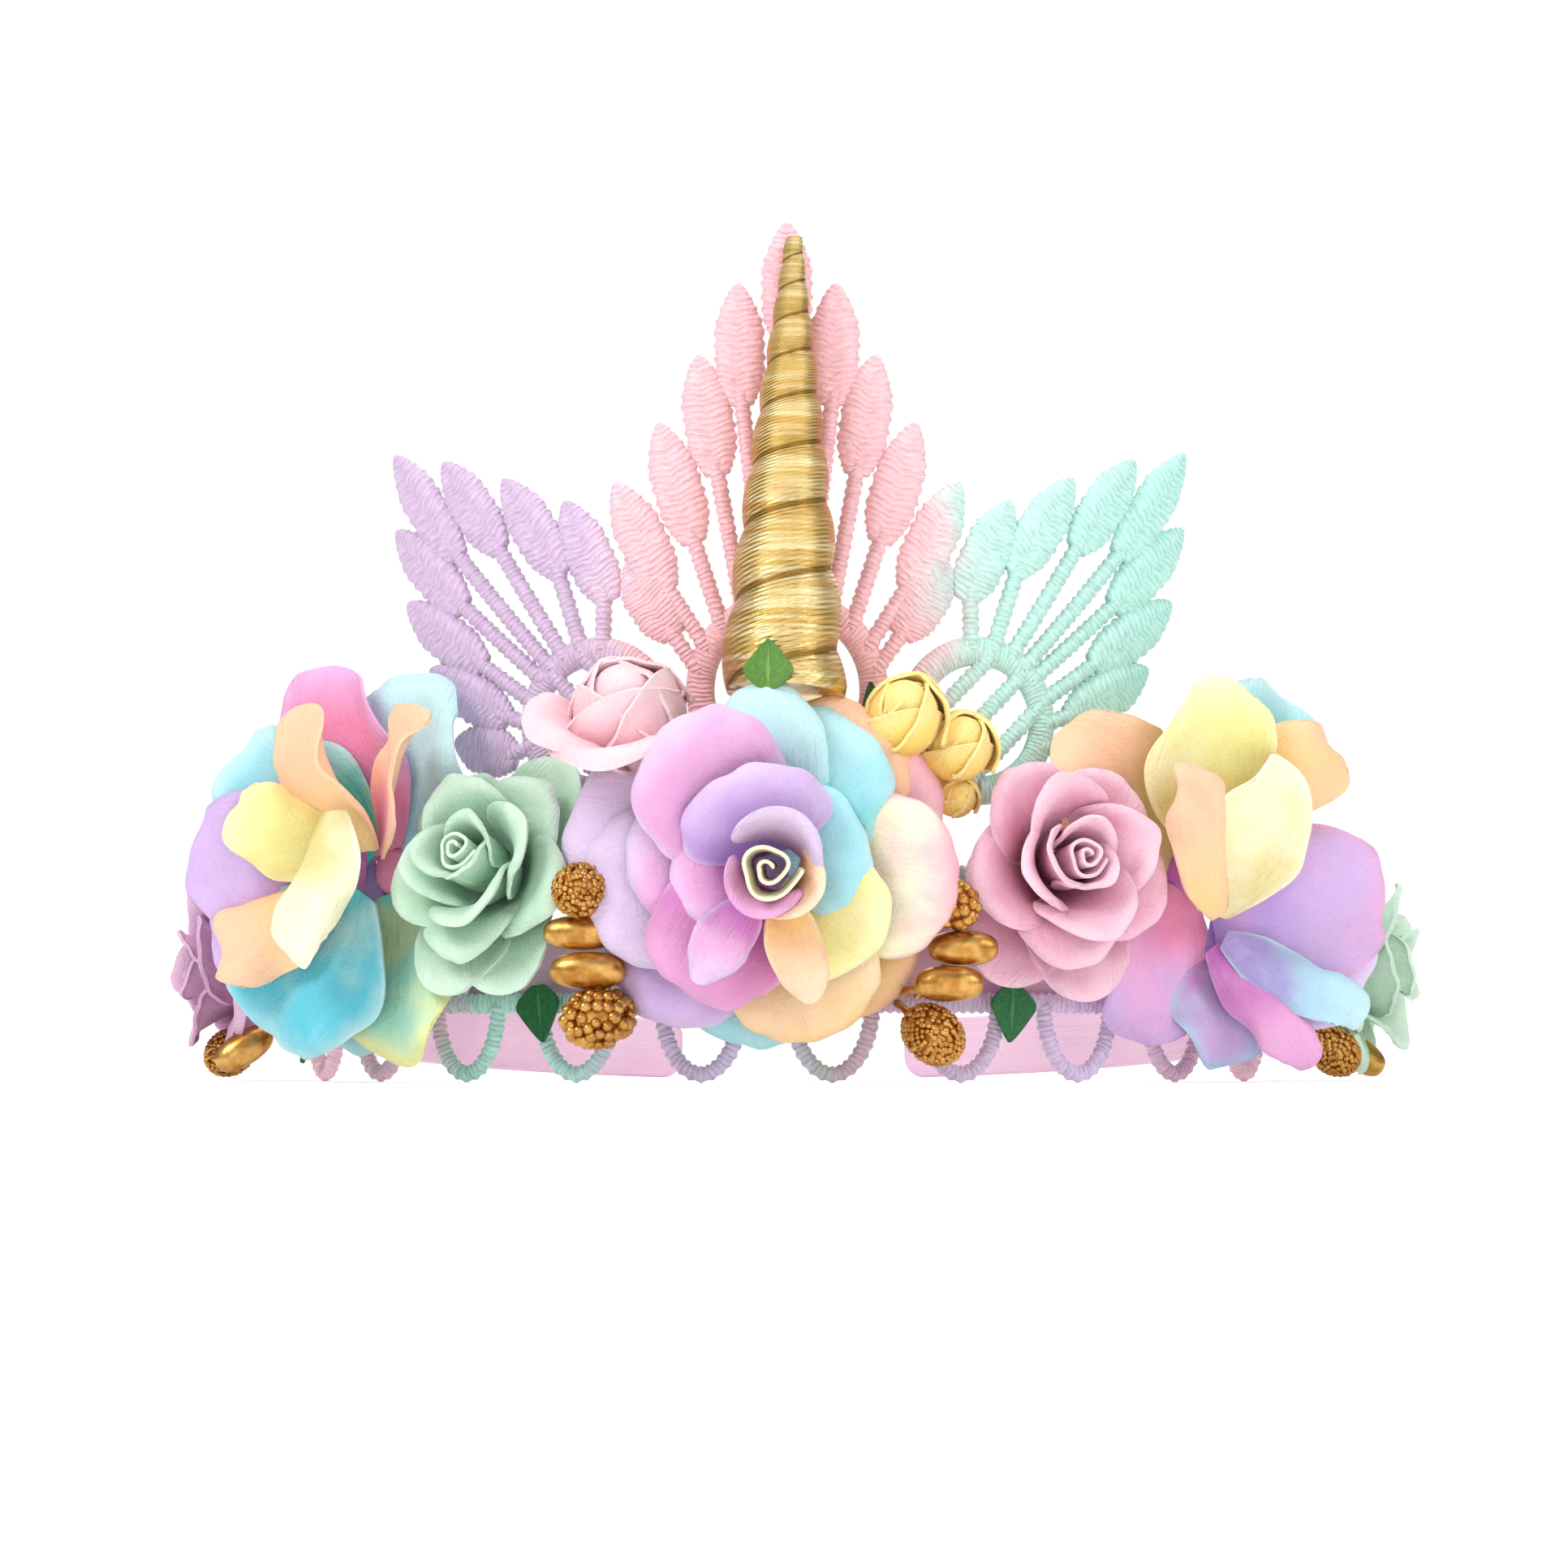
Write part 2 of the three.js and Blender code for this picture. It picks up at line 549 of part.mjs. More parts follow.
function pipGeometry(pip, wireLength) {
  const head = new THREE.SphereGeometry(1, PIP.headSides, PIP.headRows);
  head.scale(pip.wide / 2, pip.long / 2, pip.wide / 2);
  head.rotateX(Math.PI / 2).translate(0, 0, wireLength);
  const wire = new THREE.CylinderGeometry(PIP.wireRadius, PIP.wireRadius, wireLength, PIP.wireSides);
  wire.rotateX(Math.PI / 2).translate(0, 0, wireLength / 2);
  return toGeometry(joined([head, wire]));
}

const gold = finish('#a8742c', 0.35, 0.85);
for (const pip of PIPS) {
  const seat = onLace(pip.u, pip.v, LACE.strip / 2 + GLUE_GAP + PIP.wireRadius / 2);
  const reach = onLace(pip.toU, pip.toV, pip.toOut).sub(seat);
  const mesh = addPiece(pip.name, pipGeometry(pip, reach.length()), gold);
  mesh.position.copy(seat);
  mesh.quaternion.setFromUnitVectors(new THREE.Vector3(0, 0, 1), reach.normalize());
}

// Leaves: thin pointed walls, glued by the root; turn is clockwise from straight up.
const LEAVES = [
  { name: 'leaf_1', u: -3, v: 53.4, out: 20.2, turn: 0, lean: -11, long: 8.5, wide: 7 },
  { name: 'leaf_2', u: 11, v: 45, out: 2, turn: -6, lean: 3, long: 10, wide: 5 },
  { name: 'leaf_3', u: -36, v: 13.5, out: 1.65, turn: 172, lean: 6, long: 8, wide: 7 },
  { name: 'leaf_4', u: 30, v: 13.5, out: 1.65, turn: 186, lean: 6, long: 8, wide: 7 },
  { name: 'leaf_5', u: -81, v: 13, out: 1.65, turn: 196, lean: 12, long: 11, wide: 6 },
  { name: 'leaf_6', u: 82, v: 13, out: 1.65, turn: 168, lean: 12, long: 11, wide: 6 },
];

function leafGeometry(leaf) {
  const surface = (s, t) => {
    const place = Math.min(1, LEAF.rootAt + (LEAF.tipAt - LEAF.rootAt) * s);
    const half = LEAF.edge + leaf.wide / 2 * Math.sin(Math.PI * place);
    return new THREE.Vector3(t * half, leaf.long * s, LEAF.fold * half * t * t);
  };
  return wallGeometry(surface, LEAF.rows, LEAF.columns, LEAF.wall);
}

const leafGreen = finish('#4f8a4a', 0.7);
for (const leaf of LEAVES) {
  const mesh = addPiece(leaf.name, leafGeometry(leaf), leafGreen);
  mesh.position.copy(onLace(leaf.u, leaf.v, leaf.out));
  const upright = new THREE.Euler(Math.PI / 2, 0, laceYaw(leaf.u), 'ZXY');
  const turned = new THREE.Euler(degrees(leaf.lean), 0, degrees(-leaf.turn), 'ZXY');
  mesh.quaternion.setFromEuler(upright).multiply(new THREE.Quaternion().setFromEuler(turned));
}

export default crown;
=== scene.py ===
import math

import bmesh
import bpy
from mathutils import Matrix, Vector


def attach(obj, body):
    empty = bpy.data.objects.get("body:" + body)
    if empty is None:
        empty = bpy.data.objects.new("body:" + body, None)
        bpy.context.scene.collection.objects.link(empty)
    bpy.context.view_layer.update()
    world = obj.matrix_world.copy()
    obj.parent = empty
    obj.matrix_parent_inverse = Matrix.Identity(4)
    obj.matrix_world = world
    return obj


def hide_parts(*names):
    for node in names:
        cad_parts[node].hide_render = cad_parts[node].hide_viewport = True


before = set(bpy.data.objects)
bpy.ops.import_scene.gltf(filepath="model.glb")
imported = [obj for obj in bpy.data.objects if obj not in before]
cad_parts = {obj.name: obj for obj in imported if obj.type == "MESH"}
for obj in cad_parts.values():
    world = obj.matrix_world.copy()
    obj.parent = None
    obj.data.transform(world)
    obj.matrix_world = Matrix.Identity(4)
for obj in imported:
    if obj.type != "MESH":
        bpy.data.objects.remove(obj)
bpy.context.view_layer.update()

# Headband: a stiff strip 10 mm tall, covered in pink satin ribbon and bent on edge to an open C.
# It falls from the front to two tips with rounded corners, on which the crown rests behind.
MM = 0.001
BAND_HALF_WIDTH = 72 * MM
BAND_FRONT = 65 * MM
BAND_BACK = 71 * MM
BAND_CENTRE_Y = 14 * MM
BAND_TIP_X = 19 * MM
BAND_FRONT_Z = 17 * MM
BAND_TIP_Z = 4.95 * MM
BAND_HEIGHT = 10 * MM
BAND_THICKNESS = 2.6 * MM
BAND_TIP_ROUND = 3.2 * MM
BAND_EDGE = 0.8 * MM
BAND_STEPS = 120
SATIN_PINK = "#e8c5d8"
SATIN_SHADE = "#dab0ca"
SATIN_THREADS = 42
SATIN_SLUBS = (18, 120, 1)
SATIN_CLOUD = 60.0
SATIN_RELIEF = 0.06 * MM


def start_fresh():
    if bpy.context.mode != "OBJECT":
        bpy.ops.object.mode_set(mode="OBJECT")
    bpy.ops.object.select_all(action="DESELECT")


def hold(piece):
    start_fresh()
    piece.select_set(True)
    bpy.context.view_layer.objects.active = piece


def settle(piece):
    hold(piece)
    bpy.ops.object.transform_apply(location=True, rotation=True, scale=True)


def finish_with(piece, kind, **settings):
    hold(piece)
    step = piece.modifiers.new(kind.lower(), kind)
    for setting, value in settings.items():
        setattr(step, setting, value)
    bpy.ops.object.modifier_apply(modifier=step.name)


def bend_along(piece, places, twist="Z_UP"):
    line = bpy.data.curves.new("guide", "CURVE")
    line.dimensions = "3D"
    line.twist_mode = twist
    spline = line.splines.new("POLY")
    spline.points.add(len(places) - 1)
    for knot, place in zip(spline.points, places):
        knot.co = (*place, 1)
    guide = bpy.data.objects.new("guide", line)
    bpy.context.collection.objects.link(guide)
    finish_with(piece, "CURVE", object=guide)
    bpy.data.objects.remove(guide)


def linear(shade):
    channels = [int(shade[place:place + 2], 16) / 255 for place in (1, 3, 5)]
    return (*[c / 12.92 if c <= 0.04045 else ((c + 0.055) / 1.055) ** 2.4 for c in channels], 1)


def new_finish(name, roughness, metallic=0.0):
    finish = bpy.data.materials.new(name)
    finish.use_nodes = True
    shader = finish.node_tree.nodes["Principled BSDF"]
    shader.inputs["Roughness"].default_value = roughness
    shader.inputs["Metallic"].default_value = metallic
    return finish, finish.node_tree, shader


# An input is given by its name, or by an underscore and its number
def add_node(tree, kind, settings=None, **inputs):
    node = tree.nodes.new(kind)
    for setting, value in (settings or {}).items():
        setattr(node, setting, value)
    for socket, value in inputs.items():
        socket = node.inputs[int(socket[1:])] if socket[0] == "_" else node.inputs[socket]
        if isinstance(value, bpy.types.NodeSocket):
            tree.links.new(value, socket)
        else:
            socket.default_value = value
    return node


def maths(tree, operation, first, second=0.0, third=0.0):
    node = add_node(tree, "ShaderNodeMath", {"operation": operation}, _0=first, _1=second, _2=third)
    return node.outputs[0]


def weighed(tree, value, weight, plus=0.0):
    return maths(tree, "MULTIPLY_ADD", value, weight, plus)


def blend_shades(tree, share, first, second, blend="MIX"):
    settings = {"data_type": "RGBA", "blend_type": blend}
    return add_node(tree, "ShaderNodeMix", settings, _0=share, _6=first, _7=second).outputs[2]


def smooth_share(tree, value, low, high):
    settings = {"interpolation_type": "SMOOTHSTEP"}
    return add_node(tree, "ShaderNodeMapRange", settings, _0=value, _1=low, _2=high).outputs[0]


def grain(tree, places, scale, detail=3.0):
    noise = add_node(tree, "ShaderNodeTexNoise", None, Vector=places, Scale=scale, Detail=detail)
    return noise.outputs[0]


def stretched_grain(tree, places, scale):
    stretched = add_node(tree, "ShaderNodeMapping", None, Vector=places, Scale=scale).outputs[0]
    return grain(tree, stretched, 1.0)


def waves_along(tree, value, waves):
    return maths(tree, "SINE", weighed(tree, value, waves * math.tau))


def raise_relief(tree, shader, height, distance):
    relief = add_node(tree, "ShaderNodeBump", None, Height=height, Distance=distance, Strength=1.0)
    tree.links.new(relief.outputs[0], shader.inputs["Normal"])


def satin_finish():
    finish, tree, shader = new_finish("pink_satin", roughness=0.42)
    flat = add_node(tree, "ShaderNodeTexCoord").outputs["UV"]
    place = add_node(tree, "ShaderNodeTexCoord").outputs["Object"]
    rise = add_node(tree, "ShaderNodeSeparateXYZ", None, Vector=flat).outputs[1]
    threads = waves_along(tree, rise, SATIN_THREADS)
    slubs = stretched_grain(tree, flat, SATIN_SLUBS)
    cloud = grain(tree, place, SATIN_CLOUD)
    share = weighed(tree, slubs, 0.5, weighed(tree, cloud, 0.5))
    share = smooth_share(tree, share, 0.3, 0.7)
    shades = blend_shades(tree, share, linear(SATIN_SHADE), linear(SATIN_PINK))
    tree.links.new(shades, shader.inputs["Base Color"])
    tree.links.new(weighed(tree, slubs, 0.25, 0.3), shader.inputs["Roughness"])
    raise_relief(tree, shader, weighed(tree, threads, 0.3, slubs), SATIN_RELIEF)
    shader.inputs["Sheen Weight"].default_value = 0.3
    shader.inputs["Sheen Roughness"].default_value = 0.35
    return finish


band_end = math.pi - math.asin(BAND_TIP_X / BAND_HALF_WIDTH)
band_front_y = BAND_CENTRE_Y - BAND_FRONT
band_tip_y = BAND_CENTRE_Y - BAND_BACK * math.cos(band_end)


def band_place(angle):
    reach = BAND_FRONT if math.cos(angle) > 0 else BAND_BACK
    y = BAND_CENTRE_Y - reach * math.cos(angle)
    fallen = (y - band_front_y) / (band_tip_y - band_front_y)
    z = BAND_FRONT_Z - (BAND_FRONT_Z - BAND_TIP_Z) * fallen
    return Vector((BAND_HALF_WIDTH * math.sin(angle), y, z))


band_route = [band_place(band_end * (2 * step / BAND_STEPS - 1)) for step in range(BAND_STEPS + 1)]
band_length = sum((after - before).length for before, after in zip(band_route, band_route[1:]))

start_fresh()
bpy.ops.mesh.primitive_plane_add(size=1, rotation=(math.pi / 2, 0, 0))
headband = bpy.context.object
headband.name = "satin_headband"
headband.location.x = band_length / 2
headband.scale = (band_length, BAND_HEIGHT, 1)
settle(headband)
bpy.ops.object.mode_set(mode="EDIT")
bpy.ops.mesh.select_all(action="SELECT")
bpy.ops.mesh.bevel(offset=BAND_TIP_ROUND, segments=6, affect="VERTICES")
for step in range(1, BAND_STEPS):
    bpy.ops.mesh.select_all(action="SELECT")
    cut = band_length * step / BAND_STEPS
    bpy.ops.mesh.bisect(plane_co=(cut, 0, 0), plane_no=(1, 0, 0))
bpy.ops.object.mode_set(mode="OBJECT")
finish_with(headband, "SOLIDIFY", thickness=BAND_THICKNESS, offset=0)
finish_with(headband, "BEVEL", width=BAND_EDGE, segments=3, limit_method="ANGLE")
bend_along(headband, band_route)
bpy.ops.object.shade_smooth_by_angle(angle=math.radians(50))
headband.data.materials.append(satin_finish())
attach(headband, "root")
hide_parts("headband")

# Lace crown: one stiffened strip of guipure lace, machine-stitched in thread and tie-dyed by hand.
# Three fans of padded satin-stitch lobes stand on stitched rings over a ground of wrapped cords and
# a hem of loops. It is worked flat and then bent round the front of the band.
LACE_OFF_BAND = 1.4 * MM
LACE_HALF_X = BAND_HALF_WIDTH + BAND_THICKNESS / 2 + LACE_OFF_BAND
LACE_HALF_Y = BAND_FRONT + BAND_THICKNESS / 2 + LACE_OFF_BAND
# On the flat lace u runs along the strip from its middle and v up from the floor, in millimetres
LACE_SPAN = 110
RIB_PITCH = 1.3
RIB_GROOVE = 0.8
RIB_SWELL = 1.3
CORD_SIDES = 10
STITCH_PITCH = 0.75
LOBE_WIDTH = 6.9
LOBE_THICKNESS = 3
LOBE_LENGTH = 15
LOBE_NECK = 0.5
LOBE_SHOULDER = 0.3
LOBE_TIP = 0.36
LOBE_BLUNTNESS = 0.6
LOBE_ROWS = 40
LOBE_OVERLAP = 1.14
LOBE_RAG = 0.07
LOBE_RAG_STEP = 2.3
LOBE_SEAM = 0.72
LOBE_SLANT = 0.2
# Fingers of a fan: tip right and up from the ring's centre, lean, length of the lobe, and where the
# stem leaves the ring in degrees from its top
CENTRE_FAN = (
    (6.8, 56.5, 1.5, 15, 14), (12.4, 46.6, 9.5, 15, 30), (18, 37.3, 17, 15.5, 47),
    (24.3, 29.2, 26.5, 15, 64), (22.7, 17.8, 34, 11, 80),
)
SIDE_FAN = (
    (5, 31, 26, 14, -6), (15, 34.7, 35, 15, 12), (26, 38, 39, 15, 28), (36.5, 40, 41, 18.5, 42),
    (36, 29, 50, 16.5, 54), (33.3, 18.3, 57, 16, 74), (28.4, 8.5, 62, 14.5, 92), (23.4, -2, 76, 10, 108),
)
RING_WIDTH = 4
RING_FLATNESS = 0.5
RING_BARS = (-5, 0, 5)
STEM_RADIUS = 1.2
STEM_SUNK = 0.12
LEG_OUT = 0.6
LEG_RISE = 0.65
FOOT_CORD_V = 11
HEAD_CORD_V = 28.5
CORD_RADIUS = 1.5
CORD_FLATNESS = 0.55
CORD_HALF_LENGTH = 102
CORD_FALL_FROM = 62
CORD_FALL = 10
BAR_RADIUS = 1.2
BAR_FLATNESS = 0.5
BAR_COUNT = 9
BAR_HALF_SPAN = 99.6
LOOP_FIRST = -85
LOOP_PITCH = 18
LOOP_COUNT = 10
LOOP_HALF_WIDTH = 5.5
LOOP_HEIGHT = 9.7
LOOP_RADIUS = 1.2
LOOP_STEPS = 24
# Dyes along the strip, by x in millimetres, for the fans and for the hem of loops
FAN_DYES = (
    (-60, "#cfb3d4"), (-30, "#d4b9d8"), (-25.5, "#e6c8dc"), (-23.5, "#fbc4cc"), (0, "#fbbfc7"),
    (16, "#fbc5cc"), (19.5, "#ead6da"), (23, "#cde6e0"), (27, "#c2eee4"), (60, "#b4ebde"),
)
HEM_DYES = (
    (-62, "#f7cbd8"), (-50, "#f2d0dc"), (-46, "#baeadf"), (-30, "#bfeae1"), (-22, "#dcc9e8"),
    (-8, "#e0ceec"), (-1, "#dccfe6"), (3, "#c6d4cc"), (7, "#e2c8d6"), (14, "#dfcbea"),
    (44, "#e0ccec"), (52, "#f0c8da"), (66, "#f8cad3"),
)
HEM_TOP = 15 * MM
FAN_FOOT = 24 * MM
DYE_BLEED = 12 * MM
LACE_BLOTCHES = 160.0
LACE_SLIPS = 330.0
LACE_FIBRE = 2600.0
LACE_RELIEF = 0.26 * MM


def mirrored(fan):
    return [(-tip, rise, -lean, long, -start) for tip, rise, lean, long, start in fan]


# u and v of the ring, its outer radius, slope of the bars inside it, fingers
PALMETTES = (
    (-1.2, 54, 14, 0, ((0, 65, 0, 15, 0), *CENTRE_FAN, *mirrored(CENTRE_FAN))),
    (-28.2, 50, 11.7, -45, mirrored(SIDE_FAN)),
    (25.7, 50, 11.7, 45, SIDE_FAN),
)


def lace_angle(u):
    steps = 200
    angle = 0.0
    for _ in range(steps):
        speed = math.hypot(LACE_HALF_X * math.cos(angle), LACE_HALF_Y * math.sin(angle))
        middle = angle + u * MM / steps / speed / 2
        speed = math.hypot(LACE_HALF_X * math.cos(middle), LACE_HALF_Y * math.sin(middle))
        angle += u * MM / steps / speed
    return angle


def lace_yaw(u):
    angle = lace_angle(u)
    return math.atan2(LACE_HALF_Y * math.sin(angle), LACE_HALF_X * math.cos(angle))


def on_lace(u, v, out):
    angle = lace_angle(u)
    yaw = lace_yaw(u)
    x = LACE_HALF_X * math.sin(angle) + out * MM * math.sin(yaw)
    y = BAND_CENTRE_Y - LACE_HALF_Y * math.cos(angle) - out * MM * math.cos(yaw)
    return Vector((x, y, v * MM))


def mark(piece, name, values):
    layer = piece.data.attributes.get(name) or piece.data.attributes.new(name, "FLOAT", "POINT")
    layer.data.foreach_set("value", values)


def join_pieces(name, pieces):
    start_fresh()
    for piece in pieces:
        piece.select_set(True)
    bpy.context.view_layer.objects.active = pieces[0]
    bpy.ops.object.join()
    pieces[0].name = name
    pieces[0].data.name = name
    return pieces[0]


def pick(test):
    mesh = bmesh.from_edit_mesh(bpy.context.object.data)
    for vert in mesh.verts:
        vert.select_set(bool(test(vert)))
    mesh.select_flush(True)
    bmesh.update_edit_mesh(bpy.context.object.data)


def wrapped_cord(length, radius, flatness=1.0):
    ribs = max(2, round(length / RIB_PITCH))
    pitch = length / ribs
    start_fresh()
    bpy.ops.mesh.primitive_cylinder_add(
        vertices=CORD_SIDES, radius=radius * RIB_GROOVE, depth=pitch, end_fill_type="NOTHING",
        location=(pitch / 2, 0, 0), rotation=(0, math.pi / 2, 0))
    cord = bpy.context.object
    settle(cord)
    bpy.ops.object.mode_set(mode="EDIT")
    bpy.ops.mesh.select_all(action="SELECT")
    bpy.ops.mesh.bisect(plane_co=(pitch / 2, 0, 0), plane_no=(1, 0, 0))
    pick(lambda vert: abs(vert.co.x - pitch / 2) < pitch / 4)
    bpy.ops.transform.resize(value=(1, RIB_SWELL, RIB_SWELL), center_override=(pitch / 2, 0, 0))
    bpy.ops.object.mode_set(mode="OBJECT")
    finish_with(
        cord, "ARRAY", count=ribs, relative_offset_displace=(1, 0, 0), use_merge_vertices=True,
        merge_threshold=pitch / 20)
    bpy.ops.object.mode_set(mode="EDIT")
    bpy.ops.mesh.select_all(action="SELECT")
    bpy.ops.mesh.fill_holes(sides=CORD_SIDES)
    bpy.ops.transform.resize(value=(1, flatness, 1), center_override=(0, 0, 0))
    bpy.ops.object.mode_set(mode="OBJECT")
    mark(cord, "stitch", [vert.co.x / STITCH_PITCH for vert in cord.data.vertices])
    mark(cord, "across", [vert.co.z for vert in cord.data.vertices])
    return cord


def straight_cord(foot, head, radius, flatness=1.0):
    cord = wrapped_cord(math.dist(foot, head), radius, flatness)
    along = Vector((head[0] - foot[0], 0, head[1] - foot[1]))
    cord.location = (foot[0], 0, foot[1])
    cord.rotation_euler = (0, -math.atan2(along.z, along.x), 0)
    settle(cord)
    return cord


def lobe_half(share):
    if share < LOBE_SHOULDER:
        return LOBE_NECK + (1 - LOBE_NECK) * math.sin(math.pi / 2 * share / LOBE_SHOULDER)
    return min(1, (max(0, 1 - share) / LOBE_TIP) ** LOBE_BLUNTNESS)


def satin_lobe():
    start_fresh()
    bpy.ops.mesh.primitive_uv_sphere_add(segments=20, ring_count=LOBE_ROWS, radius=0.5)
    lobe = bpy.context.object
    lobe.scale = (LOBE_WIDTH, LOBE_THICKNESS, LOBE_LENGTH)
    lobe.location.z = LOBE_LENGTH / 2
    settle(lobe)
    bpy.ops.object.mode_set(mode="EDIT")
    for row in range(1, LOBE_ROWS):
        share = (1 - math.cos(math.pi * row / LOBE_ROWS)) / 2
        level = share * LOBE_LENGTH
        ragged = 1 + LOBE_RAG * math.sin(LOBE_RAG_STEP * row)
        slim = ragged * lobe_half(share) / math.sin(math.pi * row / LOBE_ROWS)
        pick(lambda vert: abs(vert.co.z - level) < LOBE_LENGTH / 1000)
        bpy.ops.transform.resize(value=(slim, slim, 1), center_override=(0, 0, level))
    pick(lambda vert: abs(vert.co.x) < LOBE_WIDTH / 1000)
    bpy.ops.transform.resize(value=(1, LOBE_SEAM, 1), center_override=(0, 0, 0))
    bpy.ops.object.mode_set(mode="OBJECT")
    stitches = [(vert.co.z - LOBE_SLANT * abs(vert.co.x)) / STITCH_PITCH for vert in lobe.data.vertices]
    mark(lobe, "stitch", stitches)
    mark(lobe, "across", [vert.co.x for vert in lobe.data.vertices])
    return lobe


def stitched_ring(radius, width):
    start_fresh()
    bpy.ops.mesh.primitive_torus_add(
        major_radius=radius - width / 2, minor_radius=width / 2, major_segments=56, minor_segments=10,
        rotation=(math.pi / 2, 0, 0))
    ring = bpy.context.object
    ring.scale = (1, 1, RING_FLATNESS)
    settle(ring)
    stitches = 2 * math.pi * radius / STITCH_PITCH
    turns = [math.atan2(vert.co.x, vert.co.z) / math.tau for vert in ring.data.vertices]
    mark(ring, "stitch", [turn * round(stitches) for turn in turns])
    mark(ring, "across", [math.hypot(vert.co.x, vert.co.z) for vert in ring.data.vertices])
    return ring


def copy_of(piece):
    twin = piece.copy()
    twin.data = piece.data.copy()
    bpy.context.collection.objects.link(twin)
    return twin


def palmette(u, v, ring, slope, fingers):
    round_ring = stitched_ring(ring, RING_WIDTH)
    round_ring.location = (u, 0, v)
    settle(round_ring)
    pieces = [round_ring]
    blank = satin_lobe()
    for tip_u, tip_v, lean, long, start in fingers:
        turned = math.radians(lean)
        up = Vector((math.sin(turned), math.cos(turned)))
        long *= LOBE_OVERLAP
        lobe_foot = Vector((u + tip_u, v + tip_v)) - up * long
        left = math.radians(start)
        reach = ring - RING_WIDTH / 2
        foot = Vector((u + reach * math.sin(left), v + reach * math.cos(left)))
        pieces.append(straight_cord(foot, lobe_foot + up * long * STEM_SUNK, STEM_RADIUS))
        lobe = copy_of(blank)
        lobe.location = (lobe_foot.x, 0, lobe_foot.y)
        lobe.rotation_euler = (0, turned, 0)
        lobe.scale.z = long / LOBE_LENGTH
        settle(lobe)
        pieces.append(lobe)
    bpy.data.objects.remove(blank)
    for side in (-1, 1):
        leg = u + side * ring * LEG_OUT
        leg_head = (leg, v - ring * LEG_RISE)
        pieces.append(straight_cord((leg, HEAD_CORD_V), leg_head, BAR_RADIUS, BAR_FLATNESS))
    way = Vector((math.sin(math.radians(slope)), math.cos(math.radians(slope))))
    for offset in RING_BARS if slope else ():
        middle = Vector((u, v)) + way.orthogonal() * offset
        half = math.sqrt((ring - RING_WIDTH / 2) ** 2 - offset ** 2)
        pieces.append(straight_cord(middle - way * half, middle + way * half, STEM_RADIUS))
    return pieces


def head_cord_v(u):
    past = min(1, max(0, abs(u) - CORD_FALL_FROM) / (CORD_HALF_LENGTH - CORD_FALL_FROM))
    return HEAD_CORD_V - CORD_FALL * past * past * (3 - 2 * past)


def hem_loop(u):
    arc = [math.pi * step / LOOP_STEPS for step in range(LOOP_STEPS + 1)]
    places = [
        (u - LOOP_HALF_WIDTH * math.cos(a), 0, LOOP_RADIUS + LOOP_HEIGHT * (1 - math.sin(a))) for a in arc]
    length = sum(math.dist(before, after) for before, after in zip(places, places[1:]))
    loop = wrapped_cord(length, LOOP_RADIUS)
    bend_along(loop, places, "MINIMUM")
    return loop


def dye_ramp(tree, along, dyes_and_shade):
    first, last = dyes_and_shade[0][0], dyes_and_shade[-1][0]
    spread = add_node(tree, "ShaderNodeMapRange", None, _0=along, _1=first * MM, _2=last * MM)
    ramp = add_node(tree, "ShaderNodeValToRGB", None, Fac=spread.outputs[0])
    stops = ramp.color_ramp.elements
    while len(stops) < len(dyes_and_shade):
        stops.new(0.5)
    for stop, (x, shade) in zip(stops, dyes_and_shade):
        stop.position = (x - first) / (last - first)
        stop.color = linear(shade)
    return ramp.outputs[0]


def marked(tree, name, output):
    return add_node(tree, "ShaderNodeAttribute", {"attribute_name": name}).outputs[output]


def lace_finish():
    finish, tree, shader = new_finish("tie_dyed_lace", roughness=0.45)
    place = add_node(tree, "ShaderNodeTexCoord").outputs["Object"]
    bleed = grain(tree, place, LACE_BLOTCHES)
    parts = add_node(tree, "ShaderNodeSeparateXYZ", None, Vector=place).outputs
    along = weighed(tree, maths(tree, "SUBTRACT", bleed, 0.5), DYE_BLEED, parts[0])
    fans = dye_ramp(tree, along, FAN_DYES)
    hem = dye_ramp(tree, along, HEM_DYES)
    shades = blend_shades(tree, smooth_share(tree, parts[2], HEM_TOP, FAN_FOOT), hem, fans)
    stitch = marked(tree, "stitch", "Fac")
    across = marked(tree, "across", "Fac")
    worked = add_node(tree, "ShaderNodeCombineXYZ", None, X=stitch, Y=weighed(tree, across, 0.5))
    streaks = grain(tree, worked.outputs[0], 1.3, 2.0)
    slip = weighed(tree, grain(tree, place, LACE_SLIPS), 1.8, stitch)
    threads = waves_along(tree, slip, 1)
    fibre = grain(tree, place, LACE_FIBRE, 4.0)
    # The colour is lighter on each thread and darker between the threads: painted shade. The streaks along
    # the stitches are random tone of the thread.
    light = weighed(tree, streaks, 0.5, weighed(tree, threads, 0.07, 0.78))
    shades = blend_shades(tree, 1.0, shades, light, "MULTIPLY")
    tree.links.new(shades, shader.inputs["Base Color"])
    height = weighed(tree, fibre, 0.5, weighed(tree, threads, 0.3, streaks))
    raise_relief(tree, shader, height, LACE_RELIEF)
    shader.inputs["Sheen Weight"].default_value = 0.4
    return finish


lace_pieces = [piece for motif in PALMETTES for piece in palmette(*motif)]
for loop_number in range(LOOP_COUNT):
    lace_pieces.append(hem_loop(LOOP_FIRST + LOOP_PITCH * loop_number))
for bar_number in range(BAR_COUNT):
    bar_u = BAR_HALF_SPAN * (2 * bar_number / (BAR_COUNT - 1) - 1)
    bar_head = (bar_u, head_cord_v(bar_u))
    lace_pieces.append(straight_cord((bar_u, FOOT_CORD_V), bar_head, BAR_RADIUS, BAR_FLATNESS))
cord_ends = [(end * CORD_HALF_LENGTH, FOOT_CORD_V) for end in (-1, 1)]
lace_pieces.append(straight_cord(*cord_ends, CORD_RADIUS, CORD_FLATNESS))
head_cord = wrapped_cord(2 * CORD_HALF_LENGTH, CORD_RADIUS, CORD_FLATNESS)
